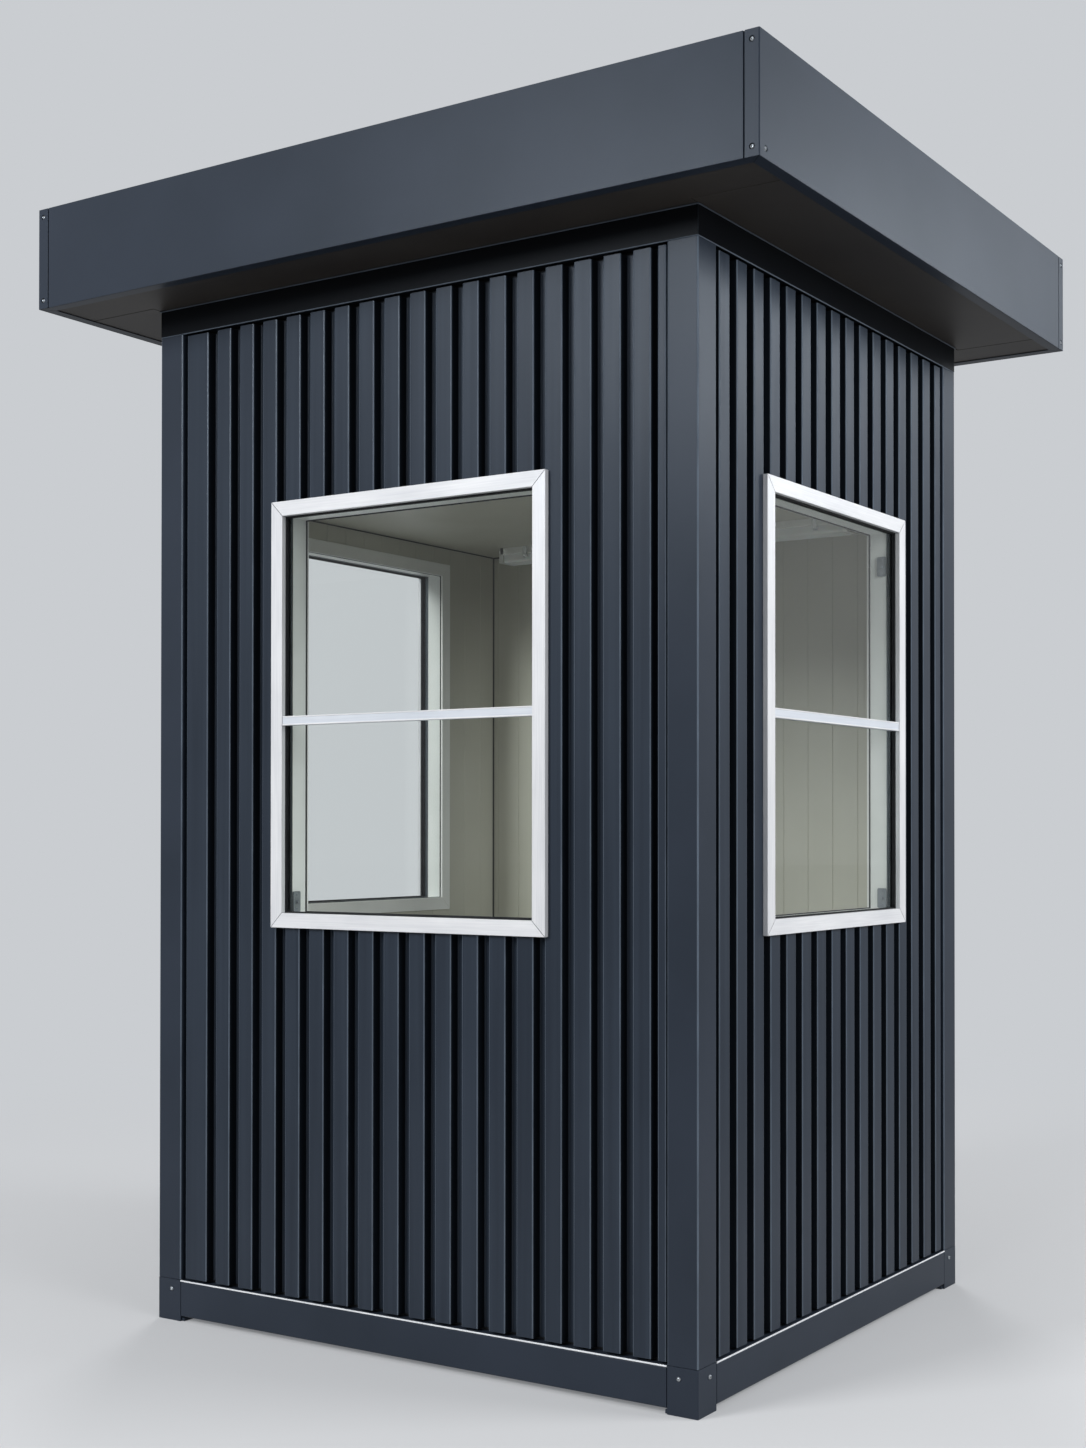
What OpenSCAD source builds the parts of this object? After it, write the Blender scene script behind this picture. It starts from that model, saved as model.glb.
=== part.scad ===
// Guard booth: a small free-standing cabin of ribbed steel over insulated
// panels, with three fixed windows, a door at the back and a deep flat roof.
// The front faces -Y and the origin is on the ground under the roof's centre.

/* [Cabin] */
// Width over the corner posts, along X
body_w = 1550; // [1300:5:2000]
// Depth over the corner posts, along Y
body_d = 1340; // [1250:5:1800]
// Height of the soffit above the ground
eaves_h = 2490; // [2380:5:2900]
// Height of the ceiling's underside above the ground
ceiling_h = 2030; // [2015:5:2300]

/* [Base] */
// Height of the corner feet, up to the foot of the posts
foot_h = 101; // [85:1:150]
// Wall thickness of the corner feet
foot_t = 5; // [4:0.5:8]
// Thickness of the plate under each foot
foot_plate_t = 10; // [6:1:20]
// Gap between the ground and the base rails
rail_lift = 12; // [6:1:30]
// Depth of the base rails' flanges
rail_flange = 60; // [40:1:90]
// Thickness of the base rails' steel
rail_t = 4; // [3:0.5:6]
// Thickness of the bright drip strip on the rails
strip_t = 4; // [3:0.5:6]
// Thickness of the floor panel
floor_t = 22; // [18:1:40]

/* [Corner posts] */
// Width of each face of a corner post
post_w = 75; // [60:1:110]
// Thickness of the posts' steel
post_t = 3; // [2:0.5:5]

/* [Walls] */
// Thickness of the insulated wall panels
wall_t = 50; // [40:1:80]
// Setback of the ribs' faces from the posts' faces
rib_set = 4; // [2:0.5:12]
// Depth of the ribs
rib_depth = 24; // [12:1:40]
// Spacing of the ribs
rib_pitch = 75; // [60:1:120]
// Width of a rib's face
rib_face = 44; // [25:1:50]
// Width that a rib's sloping side takes up
rib_slope = 2.5; // [1:0.5:5]
// Thickness of the ribbed sheet
sheet_t = 2; // [1:0.5:3]
// Gap between the ribbed sheets and the drip strip
sheet_lift = 5; // [2:1:10]
// Side clearance between the ribbed sheets and the posts
sheet_clear = 1; // [0.5:0.5:3]

/* [Front and back sheets] */
// Flat edge before the first rib
wide_lead = 9; // [4:1:40]
// Width of the first rib's face
wide_first = 70; // [30:1:90]
// Gap between the last rib and the post
wide_tail = 4; // [3:1:20]

/* [Side sheets] */
// Flat edge before the first rib
side_lead = 16; // [4:1:40]
// Width of the first rib's face
side_first = 44; // [30:1:90]
// Gap between the last rib and the post
side_tail = 10; // [3:1:20]

/* [Windows] */
// Height of the windows' bright trim above the ground
sill_h = 973; // [850:1:1050]
// Height over the windows' trim
window_h = 1007; // [700:1:1020]
// Width over the front window's trim
front_window_w = 795; // [500:1:950]
// Width over the side windows' trim
side_window_w = 723; // [500:1:760]
// Shift of the right window towards the front
right_window_shift = 25; // [0:1:40]
// Shift of the left window towards the back
left_window_shift = 10; // [0:1:25]
// Width of the trim's face
trim_w = 35; // [25:1:60]
// How far the trim stands proud of the posts' faces
trim_proud = 8; // [4:1:15]
// Width of the frame behind the trim
frame_w = 20; // [15:1:24]
// Thickness of the glass
glass_t = 6; // [4:1:10]
// Setback of the glass from the posts' faces
glass_set = 12; // [8:1:30]
// Depth of the groove that holds the glass
groove = 8; // [4:1:12]
// Height of the transom bar
transom_h = 22; // [15:1:40]
// Height of the transom bar above the foot of the trim
transom_rise = 477; // [300:1:600]
// How far the transom bar stands proud of the posts' faces
transom_proud = 6; // [2:1:8]
// Width of the casing around the windows indoors
casing_w = 36; // [30:1:60]
// Thickness of the casing
casing_t = 6; // [3:1:12]

/* [Catches] */
// Width of a catch plate
catch_w = 24; // [16:1:30]
// Height of a catch plate
catch_h = 50; // [30:1:70]
// Distance of a catch plate behind the glass
catch_set = 14; // [8:1:24]
// Thickness of a catch plate
catch_t = 3; // [2:0.5:5]
// Distance of the upper catches from the head of the opening
catch_drop = 57; // [20:1:120]
// Radius of a catch's round keeper
keeper_r = 4.8; // [3:0.2:8]
// How far the keeper stands off the jamb
keeper_l = 9; // [5:1:20]

/* [Door] */
// Width over the door frame, inside its outer flange
door_w = 760; // [650:5:800]
// Height of the door frame above the floor
door_h = 1880; // [1800:5:1890]
// Shift of the door from the middle of the back wall
door_shift = 143; // [0:1:150]
// Width of the door frame's face
door_frame_w = 35; // [25:1:60]
// Width of the outer flange that laps over the ribs
door_flange = 15; // [8:1:30]
// Thickness of the outer flange's parts on each side of the ribs' faces
door_proud = 4; // [3:1:8]
// Height of the threshold
threshold_h = 20; // [12:1:35]
// Thickness of the door leaf
leaf_t = 45; // [35:1:55]
// Gap around the door leaf
leaf_gap = 3; // [2:0.5:5]
// Width of the stop that the leaf closes against
stop_w = 12; // [8:1:20]
// Height of the handle above the floor
handle_rise = 930; // [850:10:1100]
// Radius of the hinges' barrels
hinge_r = 8; // [6:1:12]
// Height of the hinges' barrels
hinge_h = 100; // [70:5:140]
// Distance of the outer hinges' middles from the ends of the leaf
hinge_inset = 182; // [120:1:300]

/* [Roof] */
// Overhang of the roof at the left and right
over_x = 240; // [100:5:400]
// Overhang of the roof at the front and back
over_y = 175; // [100:5:400]
// Height of the ring beam on top of the walls
ring_h = 67; // [50:1:120]
// Height of the fascia
fascia_h = 246; // [180:1:350]
// Thickness of the fascia's sheet
fascia_t = 3; // [2:0.5:5]
// Width of the lip under the soffit
lip_w = 30; // [20:1:50]
// Thickness of the fascia's lips
lip_t = 2; // [1.5:0.5:4]
// Width of the fascia's strips that wrap around the corners
wrap_w = 33; // [25:1:60]
// Gap beside those strips
wrap_gap = 3; // [2:0.5:6]
// Thickness of the soffit panels
soffit_t = 12; // [8:1:25]
// Distance of the soffit's seams from the walls
seam_out = 28; // [10:1:60]
// Width of the soffit's seams
seam = 2; // [1.5:0.5:5]
// Depth of the roof deck below the fascia's top
deck_drop = 40; // [20:1:80]
// Thickness of the roof deck
deck_t = 30; // [20:1:60]

/* [Ceiling and light] */
// Thickness of the ceiling panel
ceiling_t = 40; // [20:1:60]
// Length of the ceiling light
light_l = 1130; // [600:10:1150]
// Width of the ceiling light
light_w = 70; // [50:1:100]
// Height of the light's housing
light_h = 20; // [15:1:40]
// Drop of the diffuser below the housing
diffuser_h = 25; // [15:1:35]
// Setback of the diffuser's sides and ends from the housing's
diffuser_inset = 4; // [2:1:10]
// Radius of the diffuser's lower edges
diffuser_r = 10; // [4:1:15]
// Gap between the light and the back wall
light_gap = 75; // [30:1:200]

/* [Hidden] */
// Sides count from the front: 0 front, 1 right, 2 back, 3 left
FRONT = 0;
RIGHT = 1;
BACK = 2;
LEFT = 3;
SIDES = [FRONT, RIGHT, BACK, LEFT];
WINDOWS = [FRONT, RIGHT, LEFT];
big = 400;            // reach of a cutter past the walls
$fn = 48;

// Depths are measured inwards from the posts' faces
shell_t = rib_set + rib_depth + sheet_t;    // to the wall panels
inner_t = shell_t + wall_t;                 // to the room

rail_top = foot_h - strip_t;
floor_top = rail_top + floor_t;
ring_z = eaves_h - ring_h;
roof_w = body_w + 2 * over_x;
roof_d = body_d + 2 * over_y;
fascia_z = eaves_h - lip_t;
roof_top = fascia_z + fascia_h;

clear_z = sill_h + trim_w;                  // foot of a window's clear opening
clear_h = window_h - 2 * trim_w;
transom_z = sill_h + transom_rise;

door_top = floor_top + door_h;
leaf_w = door_w - 2 * door_frame_w - 2 * leaf_gap;
leaf_z = floor_top + threshold_h + leaf_gap;
leaf_h = door_top - door_frame_w - leaf_gap - leaf_z;
light_y = body_d / 2 - inner_t - light_gap - light_w / 2;

rib_gap = rib_pitch - rib_face;             // from one rib's face to the next
last_rib = 20;                              // least width of the last rib's face
last_pan = 8;                               // least width of the pan before it

steel = "#3b434d";
steel_dark = "#2b3138";
bright = "#dfe2e8";
alu = "#a3a9ab";
panel = "#d4d3cc";
warm = "#6a6762";
galv = "#b4b8ba";

function side_len(i) = i % 2 == 0 ? body_w : body_d;
function side_reach(i) = (i % 2 == 0 ? body_d : body_w) / 2;
function window_w(i) = i == FRONT ? front_window_w : side_window_w;
function window_u(i) = i == RIGHT ? -right_window_shift : i == LEFT ? -left_window_shift : 0;
function clear_w(i) = window_w(i) - 2 * trim_w;

// Each side is drawn as the front wall is: u along it, depth inwards, z up
module on_side(i) {
    rotate([0, 0, 90 * i]) translate([0, -side_reach(i), 0]) children();
}

// A block from u0 to u1, from depth t0 to t1 and from height z0 to z1
module block(u0, u1, t0, t1, z0, z1) {
    translate([u0, t0, z0]) cube([u1 - u0, t1 - t0, z1 - z0]);
}

// A rectangular ring of the given face width around a clear opening
module ring(u, z, w, h, face, t0, t1) {
    difference() {
        block(u - w / 2 - face, u + w / 2 + face, t0, t1, z - face, z + h + face);
        block(u - w / 2, u + w / 2, t0 - 1, t1 + 1, z, z + h);
    }
}

// A section drawn as depth and height, run along a side
module along(length) {
    rotate([90, 0, 90]) linear_extrude(length, center = true) children();
}

// Each corner is drawn as the front left one is, with X and Y inwards
module on_corner(sx, sy) {
    translate([sx * body_w / 2, sy * body_d / 2, 0])
        mirror([sx > 0 ? 1 : 0, 0, 0]) mirror([0, sy > 0 ? 1 : 0, 0]) children();
}

module angle(w, t) {
    polygon([[0, 0], [w, 0], [w, t], [t, t], [t, w], [0, w]]);
}

// ---- Base ----

module base_rail(i) {
    color(steel) on_side(i) along(side_len(i) - 2 * post_w) difference() {
        translate([0, rail_lift]) square([rail_flange, rail_top - rail_lift]);
        translate([rail_t, rail_lift + rail_t])
            square([rail_flange, rail_top - rail_lift - 2 * rail_t]);
    }
}

module corner_foot() {
    difference() {
        cube([post_w, post_w, rail_top]);
        translate([foot_t, foot_t, foot_plate_t])
            cube([post_w - 2 * foot_t, post_w - 2 * foot_t, rail_top]);
    }
    linear_extrude(foot_h) angle(post_w, foot_t);
}

module corner_feet() {
    color(steel) for (sx = [-1, 1], sy = [-1, 1]) on_corner(sx, sy) corner_foot();
}

module drip_strips() {
    color(bright) for (i = SIDES) on_side(i) {
        half = side_len(i) / 2 - post_w;
        block(-half, half, 0, shell_t, rail_top, foot_h);
    }
}

module floor_panel() {
    w = body_w - 2 * shell_t;
    d = body_d - 2 * shell_t;
    color(warm) translate([-w / 2, -d / 2, rail_top]) cube([w, d, floor_t]);
}

// ---- Corner posts ----

module corner_post(sx, sy) {
    color(steel) on_corner(sx, sy) translate([0, 0, foot_h]) linear_extrude(ring_z - foot_h) {
        angle(post_w, post_t);
        translate([post_w - post_t, 0]) square([post_t, shell_t]);
        translate([0, post_w - post_t]) square([shell_t, post_t]);
    }
}

// ---- Walls ----

module window_cut(i) {
    half = clear_w(i) / 2 + frame_w;
    block(window_u(i) - half, window_u(i) + half, -big, big,
          clear_z - frame_w, clear_z + clear_h + frame_w);
}

module door_cut() {
    block(door_shift - door_w / 2, door_shift + door_w / 2, -big, big, 0, door_top);
}

module opening_cut(i) {
    if (i == BACK) door_cut();
    else window_cut(i);
}

module wall(i) {
    half = side_len(i) / 2 - (i % 2 == 0 ? shell_t : inner_t);
    color(panel) on_side(i) difference() {
        block(-half, half, shell_t, inner_t, floor_top, ring_z);
        opening_cut(i);
    }
}

// Faces of one sheet's ribs as [start, end], measured from its left edge
function rib_faces(length, lead, first, tail) =
    let (
        first_end = lead + rib_slope + first,
        last_end = length - tail,
        room = last_end - last_rib - last_pan - 2 * rib_slope - first_end,
        count = floor(room / rib_pitch),
        next = first_end + count * rib_pitch + rib_gap
    ) concat(
        [[first_end - first, first_end]],
        [for (k = [1:count]) [first_end + k * rib_pitch - rib_face, first_end + k * rib_pitch]],
        [[min(next, last_end - last_rib), last_end]]
    );

// The sheet's outer line, and the same line one thickness further in
function rib_line(faces, length, t) = concat(
    [[0, rib_set + rib_depth + t]],
    [for (f = faces) each [
        [f[0] - rib_slope + t, rib_set + rib_depth + t],
        [f[0] + t, rib_set + t],
        [f[1] - t, rib_set + t],
        [f[1] + rib_slope - t, rib_set + rib_depth + t]
    ]],
    [[length, rib_set + rib_depth + t]]
);

function reversed(list) = [for (k = [len(list) - 1:-1:0]) list[k]];

module cladding(i) {
    wide = i % 2 == 0;
    length = side_len(i) - 2 * (post_w + sheet_clear);
    faces = rib_faces(length, wide ? wide_lead : side_lead, wide ? wide_first : side_first,
                      wide ? wide_tail : side_tail);
    z0 = foot_h + sheet_lift;
    color(steel) on_side(i) difference() {
        translate([-length / 2, 0, z0]) linear_extrude(ring_z - z0)
            polygon(concat(rib_line(faces, length, 0), reversed(rib_line(faces, length, sheet_t))));
        opening_cut(i);
    }
}

// ---- Windows ----

module window_trim(i) {
    color(bright) on_side(i)
        ring(window_u(i), clear_z, clear_w(i), clear_h, trim_w, -trim_proud, rib_set);
}

module window_frame(i) {
    color(alu) on_side(i) difference() {
        ring(window_u(i), clear_z, clear_w(i), clear_h, frame_w, rib_set, inner_t);
        glass_block(i);
    }
}

module glass_block(i) {
    half = clear_w(i) / 2 + groove;
    block(window_u(i) - half, window_u(i) + half, glass_set, glass_set + glass_t,
          clear_z - groove, clear_z + clear_h + groove);
}

module window_glass(i) {
    color("#b9cdd2", 0.35) on_side(i) glass_block(i);
}

// The left window is a single pane
module window_transoms() {
    color(bright) for (i = [FRONT, RIGHT]) on_side(i)
        block(window_u(i) - clear_w(i) / 2, window_u(i) + clear_w(i) / 2,
              -transom_proud, glass_set, transom_z, transom_z + transom_h);
}

module window_casings() {
    color(panel) for (i = WINDOWS) on_side(i)
        ring(window_u(i), clear_z, clear_w(i), clear_h, casing_w, inner_t, inner_t + casing_t);
}

// A plate on a jamb with a round keeper, for the jamb at the given end
module catch_plate(i, end, z) {
    t0 = glass_set + glass_t + catch_set;
    on_side(i) translate([window_u(i) + end * clear_w(i) / 2, t0, z])
        mirror([end > 0 ? 1 : 0, 0, 0]) {
            cube([catch_t, catch_w, catch_h]);
            translate([0, catch_w / 2, catch_h / 2]) rotate([0, 90, 0])
                cylinder(h = keeper_l, r = keeper_r);
        }
}

module window_catches() {
    top = clear_z + clear_h - catch_drop - catch_h;
    color(galv) {
        for (end = [-1, 1]) catch_plate(FRONT, end, clear_z);
        for (z = [clear_z, top]) catch_plate(RIGHT, 1, z);
    }
}

// ---- Door ----

module door_frame() {
    half = door_w / 2;
    pocket = half - door_frame_w;
    pass = pocket - stop_w;
    z0 = floor_top + threshold_h;
    z1 = door_top - door_frame_w;
    color(steel_dark) on_side(BACK) translate([door_shift, 0, 0]) difference() {
        union() {
            block(-half, half, 0, inner_t, floor_top, door_top);
            block(-half - door_flange, half + door_flange, -door_proud, rib_set,
                  foot_h, door_top + door_flange);
        }
        block(-pocket, pocket, -big, leaf_t, z0, z1);
        block(-pass, pass, -big, big, z0, z1 - stop_w);
    }
}

module door_leaf() {
    color(steel) on_side(BACK) translate([door_shift, 0, 0])
        block(-leaf_w / 2, leaf_w / 2, 0, leaf_t, leaf_z, leaf_z + leaf_h);
}

// Plate, stem and lever, standing out of a face towards +Y
module lever_set() {
    plate = [40, 4, 210];
    stem_r = 10;
    stem_l = 46;
    lever_l = 125;
    translate([-plate[0] / 2, 0, -plate[2] / 2]) cube(plate);
    rotate([-90, 0, 0]) cylinder(h = stem_l, r = stem_r);
    translate([0, stem_l, 0]) sphere(r = stem_r);
    translate([0, stem_l, 0]) rotate([0, 90, 0]) cylinder(h = lever_l, r = stem_r);
    translate([lever_l, stem_l, 0]) sphere(r = stem_r);
}

module door_handle() {
    inset = 55;
    color(galv) on_side(BACK)
        translate([door_shift - leaf_w / 2 + inset, 0, floor_top + handle_rise]) {
            mirror([0, 1, 0]) lever_set();
            translate([0, leaf_t, 0]) lever_set();
        }
}

module door_hinges() {
    wing = 28;
    wing_t = 3;
    edge = door_w / 2 - door_frame_w;
    color(galv) on_side(BACK) for (middle = [hinge_inset, leaf_h / 2, leaf_h - hinge_inset])
        translate([door_shift + edge - leaf_gap / 2, 0, leaf_z + middle - hinge_h / 2]) {
            translate([0, -door_proud - hinge_r, 0]) cylinder(h = hinge_h, r = hinge_r);
            block(-wing, 0, -wing_t, 0, 0, hinge_h);
            block(-wing_t, 0, -door_proud - hinge_r, 0, 0, hinge_h);
            block(0, wing, -door_proud - wing_t, -door_proud, 0, hinge_h);
        }
}

// ---- Roof ----

module ring_beam() {
    color(steel) difference() {
        translate([-body_w / 2, -body_d / 2, ring_z]) cube([body_w, body_d, ring_h]);
        translate([-body_w / 2 + inner_t, -body_d / 2 + inner_t, ring_z - 1])
            cube([body_w - 2 * inner_t, body_d - 2 * inner_t, ring_h + 2]);
    }
}

function roof_len(i) = i % 2 == 0 ? roof_w : roof_d;
function roof_reach(i) = (i % 2 == 0 ? roof_d : roof_w) / 2;

module on_roof_side(i) {
    rotate([0, 0, 90 * i]) translate([0, -roof_reach(i), 0]) children();
}

// A lip along a whole side, behind the faces, with mitred ends
module lip(half) {
    linear_extrude(lip_t) polygon([for (s = [-1, 1], t = s < 0 ? [lip_w, fascia_t] : [fascia_t, lip_w])
                                   [s * (half - t), t]]);
}

// The face runs from u0 to u1. Where a neighbour wraps around the corner it
// stops short of that strip, and where it wraps itself it turns the corner.
module fascia(i, wraps_left, wraps_right) {
    half = roof_len(i) / 2;
    short = wrap_w + wrap_gap;
    u0 = wraps_left ? -half : -half + short;
    u1 = wraps_right ? half : half - short;
    color(steel) on_roof_side(i) {
        block(u0, u1, 0, fascia_t, fascia_z, roof_top);
        if (wraps_left) block(-half, -half + fascia_t, 0, wrap_w, fascia_z, roof_top);
        if (wraps_right) block(half - fascia_t, half, 0, wrap_w, fascia_z, roof_top);
        translate([0, 0, fascia_z]) lip(half);
        translate([0, 0, roof_top - lip_t]) lip(half);
    }
}

module soffit_panels() {
    seam_y = body_d / 2 + seam_out;
    w = roof_w - 2 * fascia_t;
    side_w = over_x + inner_t - fascia_t;
    end_d = roof_d / 2 - fascia_t - seam_y;
    color(warm) {
        for (s = [-1, 1]) translate([0, s * (seam_y + end_d / 2), eaves_h + soffit_t / 2])
            cube([w, end_d, soffit_t], center = true);
        for (s = [-1, 1]) translate([s * (w - side_w) / 2, 0, eaves_h + soffit_t / 2])
            cube([side_w, 2 * (seam_y - seam), soffit_t], center = true);
        for (s = [-1, 1]) translate([0, s * (body_d / 2 - inner_t / 2), eaves_h + soffit_t / 2])
            cube([w - 2 * side_w - 2 * seam, inner_t, soffit_t], center = true);
    }
}

module roof_deck() {
    w = roof_w - 2 * fascia_t;
    d = roof_d - 2 * fascia_t;
    color(steel_dark) translate([-w / 2, -d / 2, roof_top - deck_drop - deck_t])
        cube([w, d, deck_t]);
}

// ---- Ceiling and light ----

module ceiling_panel() {
    w = body_w - 2 * inner_t;
    d = body_d - 2 * inner_t;
    color(panel) translate([-w / 2, -d / 2, ceiling_h]) cube([w, d, ceiling_t]);
}

module ceiling_light() {
    color(bright) translate([-light_l / 2, light_y - light_w / 2, ceiling_h - light_h])
        cube([light_l, light_w, light_h]);
}

// Flat-bottomed cover with rounded lower edges, a little narrower than the housing
module light_diffuser() {
    w = light_w - 2 * diffuser_inset;
    r = diffuser_r;
    color("#eef0ee") translate([0, light_y, ceiling_h - light_h]) along(light_l - 2 * diffuser_inset) {
        translate([-w / 2, -diffuser_h + r]) square([w, diffuser_h - r]);
        translate([-w / 2 + r, -diffuser_h]) square([w - 2 * r, diffuser_h]);
        for (s = [-1, 1]) translate([s * (w / 2 - r), -diffuser_h + r]) circle(r);
    }
}

base_rail(FRONT);  // front_base_rail
base_rail(RIGHT);  // right_base_rail
base_rail(BACK);  // back_base_rail
base_rail(LEFT);  // left_base_rail
corner_feet();
drip_strips();
floor_panel();
corner_post(-1, -1);  // front_left_post
corner_post(1, -1);  // front_right_post
corner_post(-1, 1);  // back_left_post
corner_post(1, 1);  // back_right_post
wall(FRONT);  // front_wall
wall(RIGHT);  // right_wall
wall(BACK);  // back_wall
wall(LEFT);  // left_wall
cladding(FRONT);  // front_cladding
cladding(RIGHT);  // right_cladding
cladding(BACK);  // back_cladding
cladding(LEFT);  // left_cladding
window_trim(FRONT);  // front_window_trim
window_trim(RIGHT);  // right_window_trim
window_trim(LEFT);  // left_window_trim
window_frame(FRONT);  // front_window_frame
window_frame(RIGHT);  // right_window_frame
window_frame(LEFT);  // left_window_frame
window_glass(FRONT);  // front_window_glass
window_glass(RIGHT);  // right_window_glass
window_glass(LEFT);  // left_window_glass
window_transoms();
window_casings();
window_catches();
door_frame();
door_leaf();
door_handle();
door_hinges();
ring_beam();
fascia(FRONT, false, false);  // front_fascia
fascia(RIGHT, true, false);  // right_fascia
fascia(BACK, true, true);  // back_fascia
fascia(LEFT, false, true);  // left_fascia
soffit_panels();
roof_deck();
ceiling_panel();
ceiling_light();
light_diffuser();
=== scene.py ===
# Guard booth: a cabin of ribbed coated steel with bright window trims and a deep flat roof.
# Lengths are in millimetres until a piece is finished, and depths count inwards from the posts.
# Only the studio is in metres.
import cmath
import math

import bmesh
import bpy
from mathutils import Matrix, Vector


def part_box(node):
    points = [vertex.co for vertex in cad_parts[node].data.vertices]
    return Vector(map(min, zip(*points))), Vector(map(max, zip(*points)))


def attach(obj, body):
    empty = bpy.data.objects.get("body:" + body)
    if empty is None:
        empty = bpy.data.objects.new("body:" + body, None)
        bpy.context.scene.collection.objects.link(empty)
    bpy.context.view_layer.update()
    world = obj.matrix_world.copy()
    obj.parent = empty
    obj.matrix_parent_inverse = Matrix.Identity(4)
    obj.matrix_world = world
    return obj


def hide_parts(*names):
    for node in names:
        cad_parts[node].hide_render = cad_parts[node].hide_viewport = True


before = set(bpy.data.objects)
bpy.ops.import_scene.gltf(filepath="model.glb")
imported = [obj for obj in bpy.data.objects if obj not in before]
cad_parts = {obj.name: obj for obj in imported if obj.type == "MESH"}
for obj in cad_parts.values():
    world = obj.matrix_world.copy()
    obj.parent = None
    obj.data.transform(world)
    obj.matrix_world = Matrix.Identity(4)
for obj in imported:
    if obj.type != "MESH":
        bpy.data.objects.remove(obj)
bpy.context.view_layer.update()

# ---- Studio ----
# A pale seamless floor and an equally pale surround. Soft boxes stand at the front, on the right,
# behind and overhead, and a small lamp lifts the room. Two dim, cool panels are only mirrored, as
# soft patches on the coat.
scene = bpy.context.scene
scene.view_settings.view_transform = "Standard"

camera = bpy.data.objects.new("camera", bpy.data.cameras.new("camera"))
scene.collection.objects.link(camera)
camera.location = (2.70821, -3.92819, 1.20318)
camera.rotation_euler = (math.radians(90.528), 0, math.radians(31.168))
camera.data.lens = 46.08
camera.data.shift_x = -0.0963
camera.data.shift_y = 0.0615
camera.data.clip_end = 200
scene.camera = camera

PALE = "#cacdd1"
PAPER = "#cfd0d2"
COOL = (0.84, 0.92, 1.0)
AMBIENT = 0.30           # how much of the surround's colour reaches the object as light
FLOOR_SHEEN = 0.4        # how much of the floor's shows in the coat
FLOOR_RADIUS = 60.0
FLOOR_DROP = 0.0005
FLOOR_LIT = 1.2          # from the middle to where the floor starts to turn into the surround,
FLOOR_BLEND = 4.0        # the distance over which it does,
FLOOR_GLOW = 0.3         # and how much of the surround's glow it has before that


def linear(hex_colour):
    """An sRGB hex colour as linear RGBA."""
    parts = [int(hex_colour[k:k + 2], 16) / 255 for k in (1, 3, 5)]
    return tuple(c / 12.92 if c <= 0.04045 else ((c + 0.055) / 1.055) ** 2.4 for c in parts) + (1,)


def add_node(tree, kind, inputs=None, **settings):
    """Adds one shader node. inputs holds numbers, colours or the sockets to link."""
    node = tree.nodes.new("ShaderNode" + kind)
    for name, value in settings.items():
        setattr(node, name, value)
    for name, value in (inputs or {}).items():
        if isinstance(value, bpy.types.NodeSocket):
            tree.links.new(value, node.inputs[name])
        else:
            node.inputs[name].default_value = value
    return node


def math_node(tree, operation, a, b):
    """One sum of two values or sockets."""
    return add_node(tree, "Math", {0: a, 1: b}, operation=operation).outputs[0]


def pale_light(tree, mirrored):
    """The pale colour, at full strength to direct rays and through glass, as mirrored says in a
    sheen, and as AMBIENT says to the rays that gather light."""
    path = add_node(tree, "LightPath").outputs
    sheen = math_node(tree, "MULTIPLY", path["Is Glossy Ray"], mirrored)
    seen = math_node(tree, "MAXIMUM", path["Is Camera Ray"], sheen)
    seen = math_node(tree, "MAXIMUM", seen, path["Is Transmission Ray"])
    strength = add_node(tree, "MapRange", {"Value": seen, "To Min": AMBIENT, "To Max": 1.0}).outputs[0]
    return {"Color": linear(PALE), "Strength": strength}


world = bpy.data.worlds.new("surround")
scene.world = world
world.use_nodes = True
tree = world.node_tree
tree.nodes.clear()
surround = add_node(tree, "Background", pale_light(tree, 1.0))
add_node(tree, "OutputWorld", {"Surface": surround.outputs[0]})

studio_floor = bpy.data.materials.new("pale studio paper")
studio_floor.use_nodes = True
tree = studio_floor.node_tree
tree.nodes.clear()
paper = add_node(tree, "BsdfDiffuse", {"Color": linear(PAPER)})
glow = add_node(tree, "Emission", pale_light(tree, FLOOR_SHEEN))
place = add_node(tree, "NewGeometry").outputs["Position"]
distance = add_node(tree, "VectorMath", {0: place}, operation="LENGTH").outputs["Value"]
away = add_node(tree, "MapRange", {"Value": distance, "From Min": FLOOR_LIT, "To Min": FLOOR_GLOW,
                                   "From Max": FLOOR_LIT + FLOOR_BLEND},
                interpolation_type="SMOOTHSTEP")
both = add_node(tree, "MixShader", {0: away.outputs[0], 1: paper.outputs[0], 2: glow.outputs[0]})
add_node(tree, "OutputMaterial", {"Surface": both.outputs[0]})
bm = bmesh.new()
bmesh.ops.create_circle(bm, cap_ends=True, segments=96, radius=FLOOR_RADIUS)
mesh = bpy.data.meshes.new("studio_floor")
bm.to_mesh(mesh)
bm.free()
mesh.materials.append(studio_floor)
floor_sheet = bpy.data.objects.new("studio_floor", mesh)
floor_sheet.location.z = -FLOOR_DROP
scene.collection.objects.link(floor_sheet)


def soft_box(name, place, width, height, watts, aim=(0, 0, 1.3), sheen=False):
    """An area lamp turned to its aim: a light, or as a sheen a panel that is only mirrored."""
    lamp = bpy.data.objects.new(name, bpy.data.lights.new(name, "AREA"))
    lamp.data.shape = "RECTANGLE"
    lamp.data.size = width
    lamp.data.size_y = height
    lamp.data.energy = watts
    lamp.data.color = COOL if sheen else (1, 1, 1)
    lamp.location = place
    lamp.rotation_euler = (Vector(aim) - Vector(place)).to_track_quat("-Z", "Y").to_euler()
    lamp.visible_camera = False
    lamp.visible_transmission = False
    lamp.visible_glossy = sheen
    lamp.visible_diffuse = not sheen
    scene.collection.objects.link(lamp)


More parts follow.
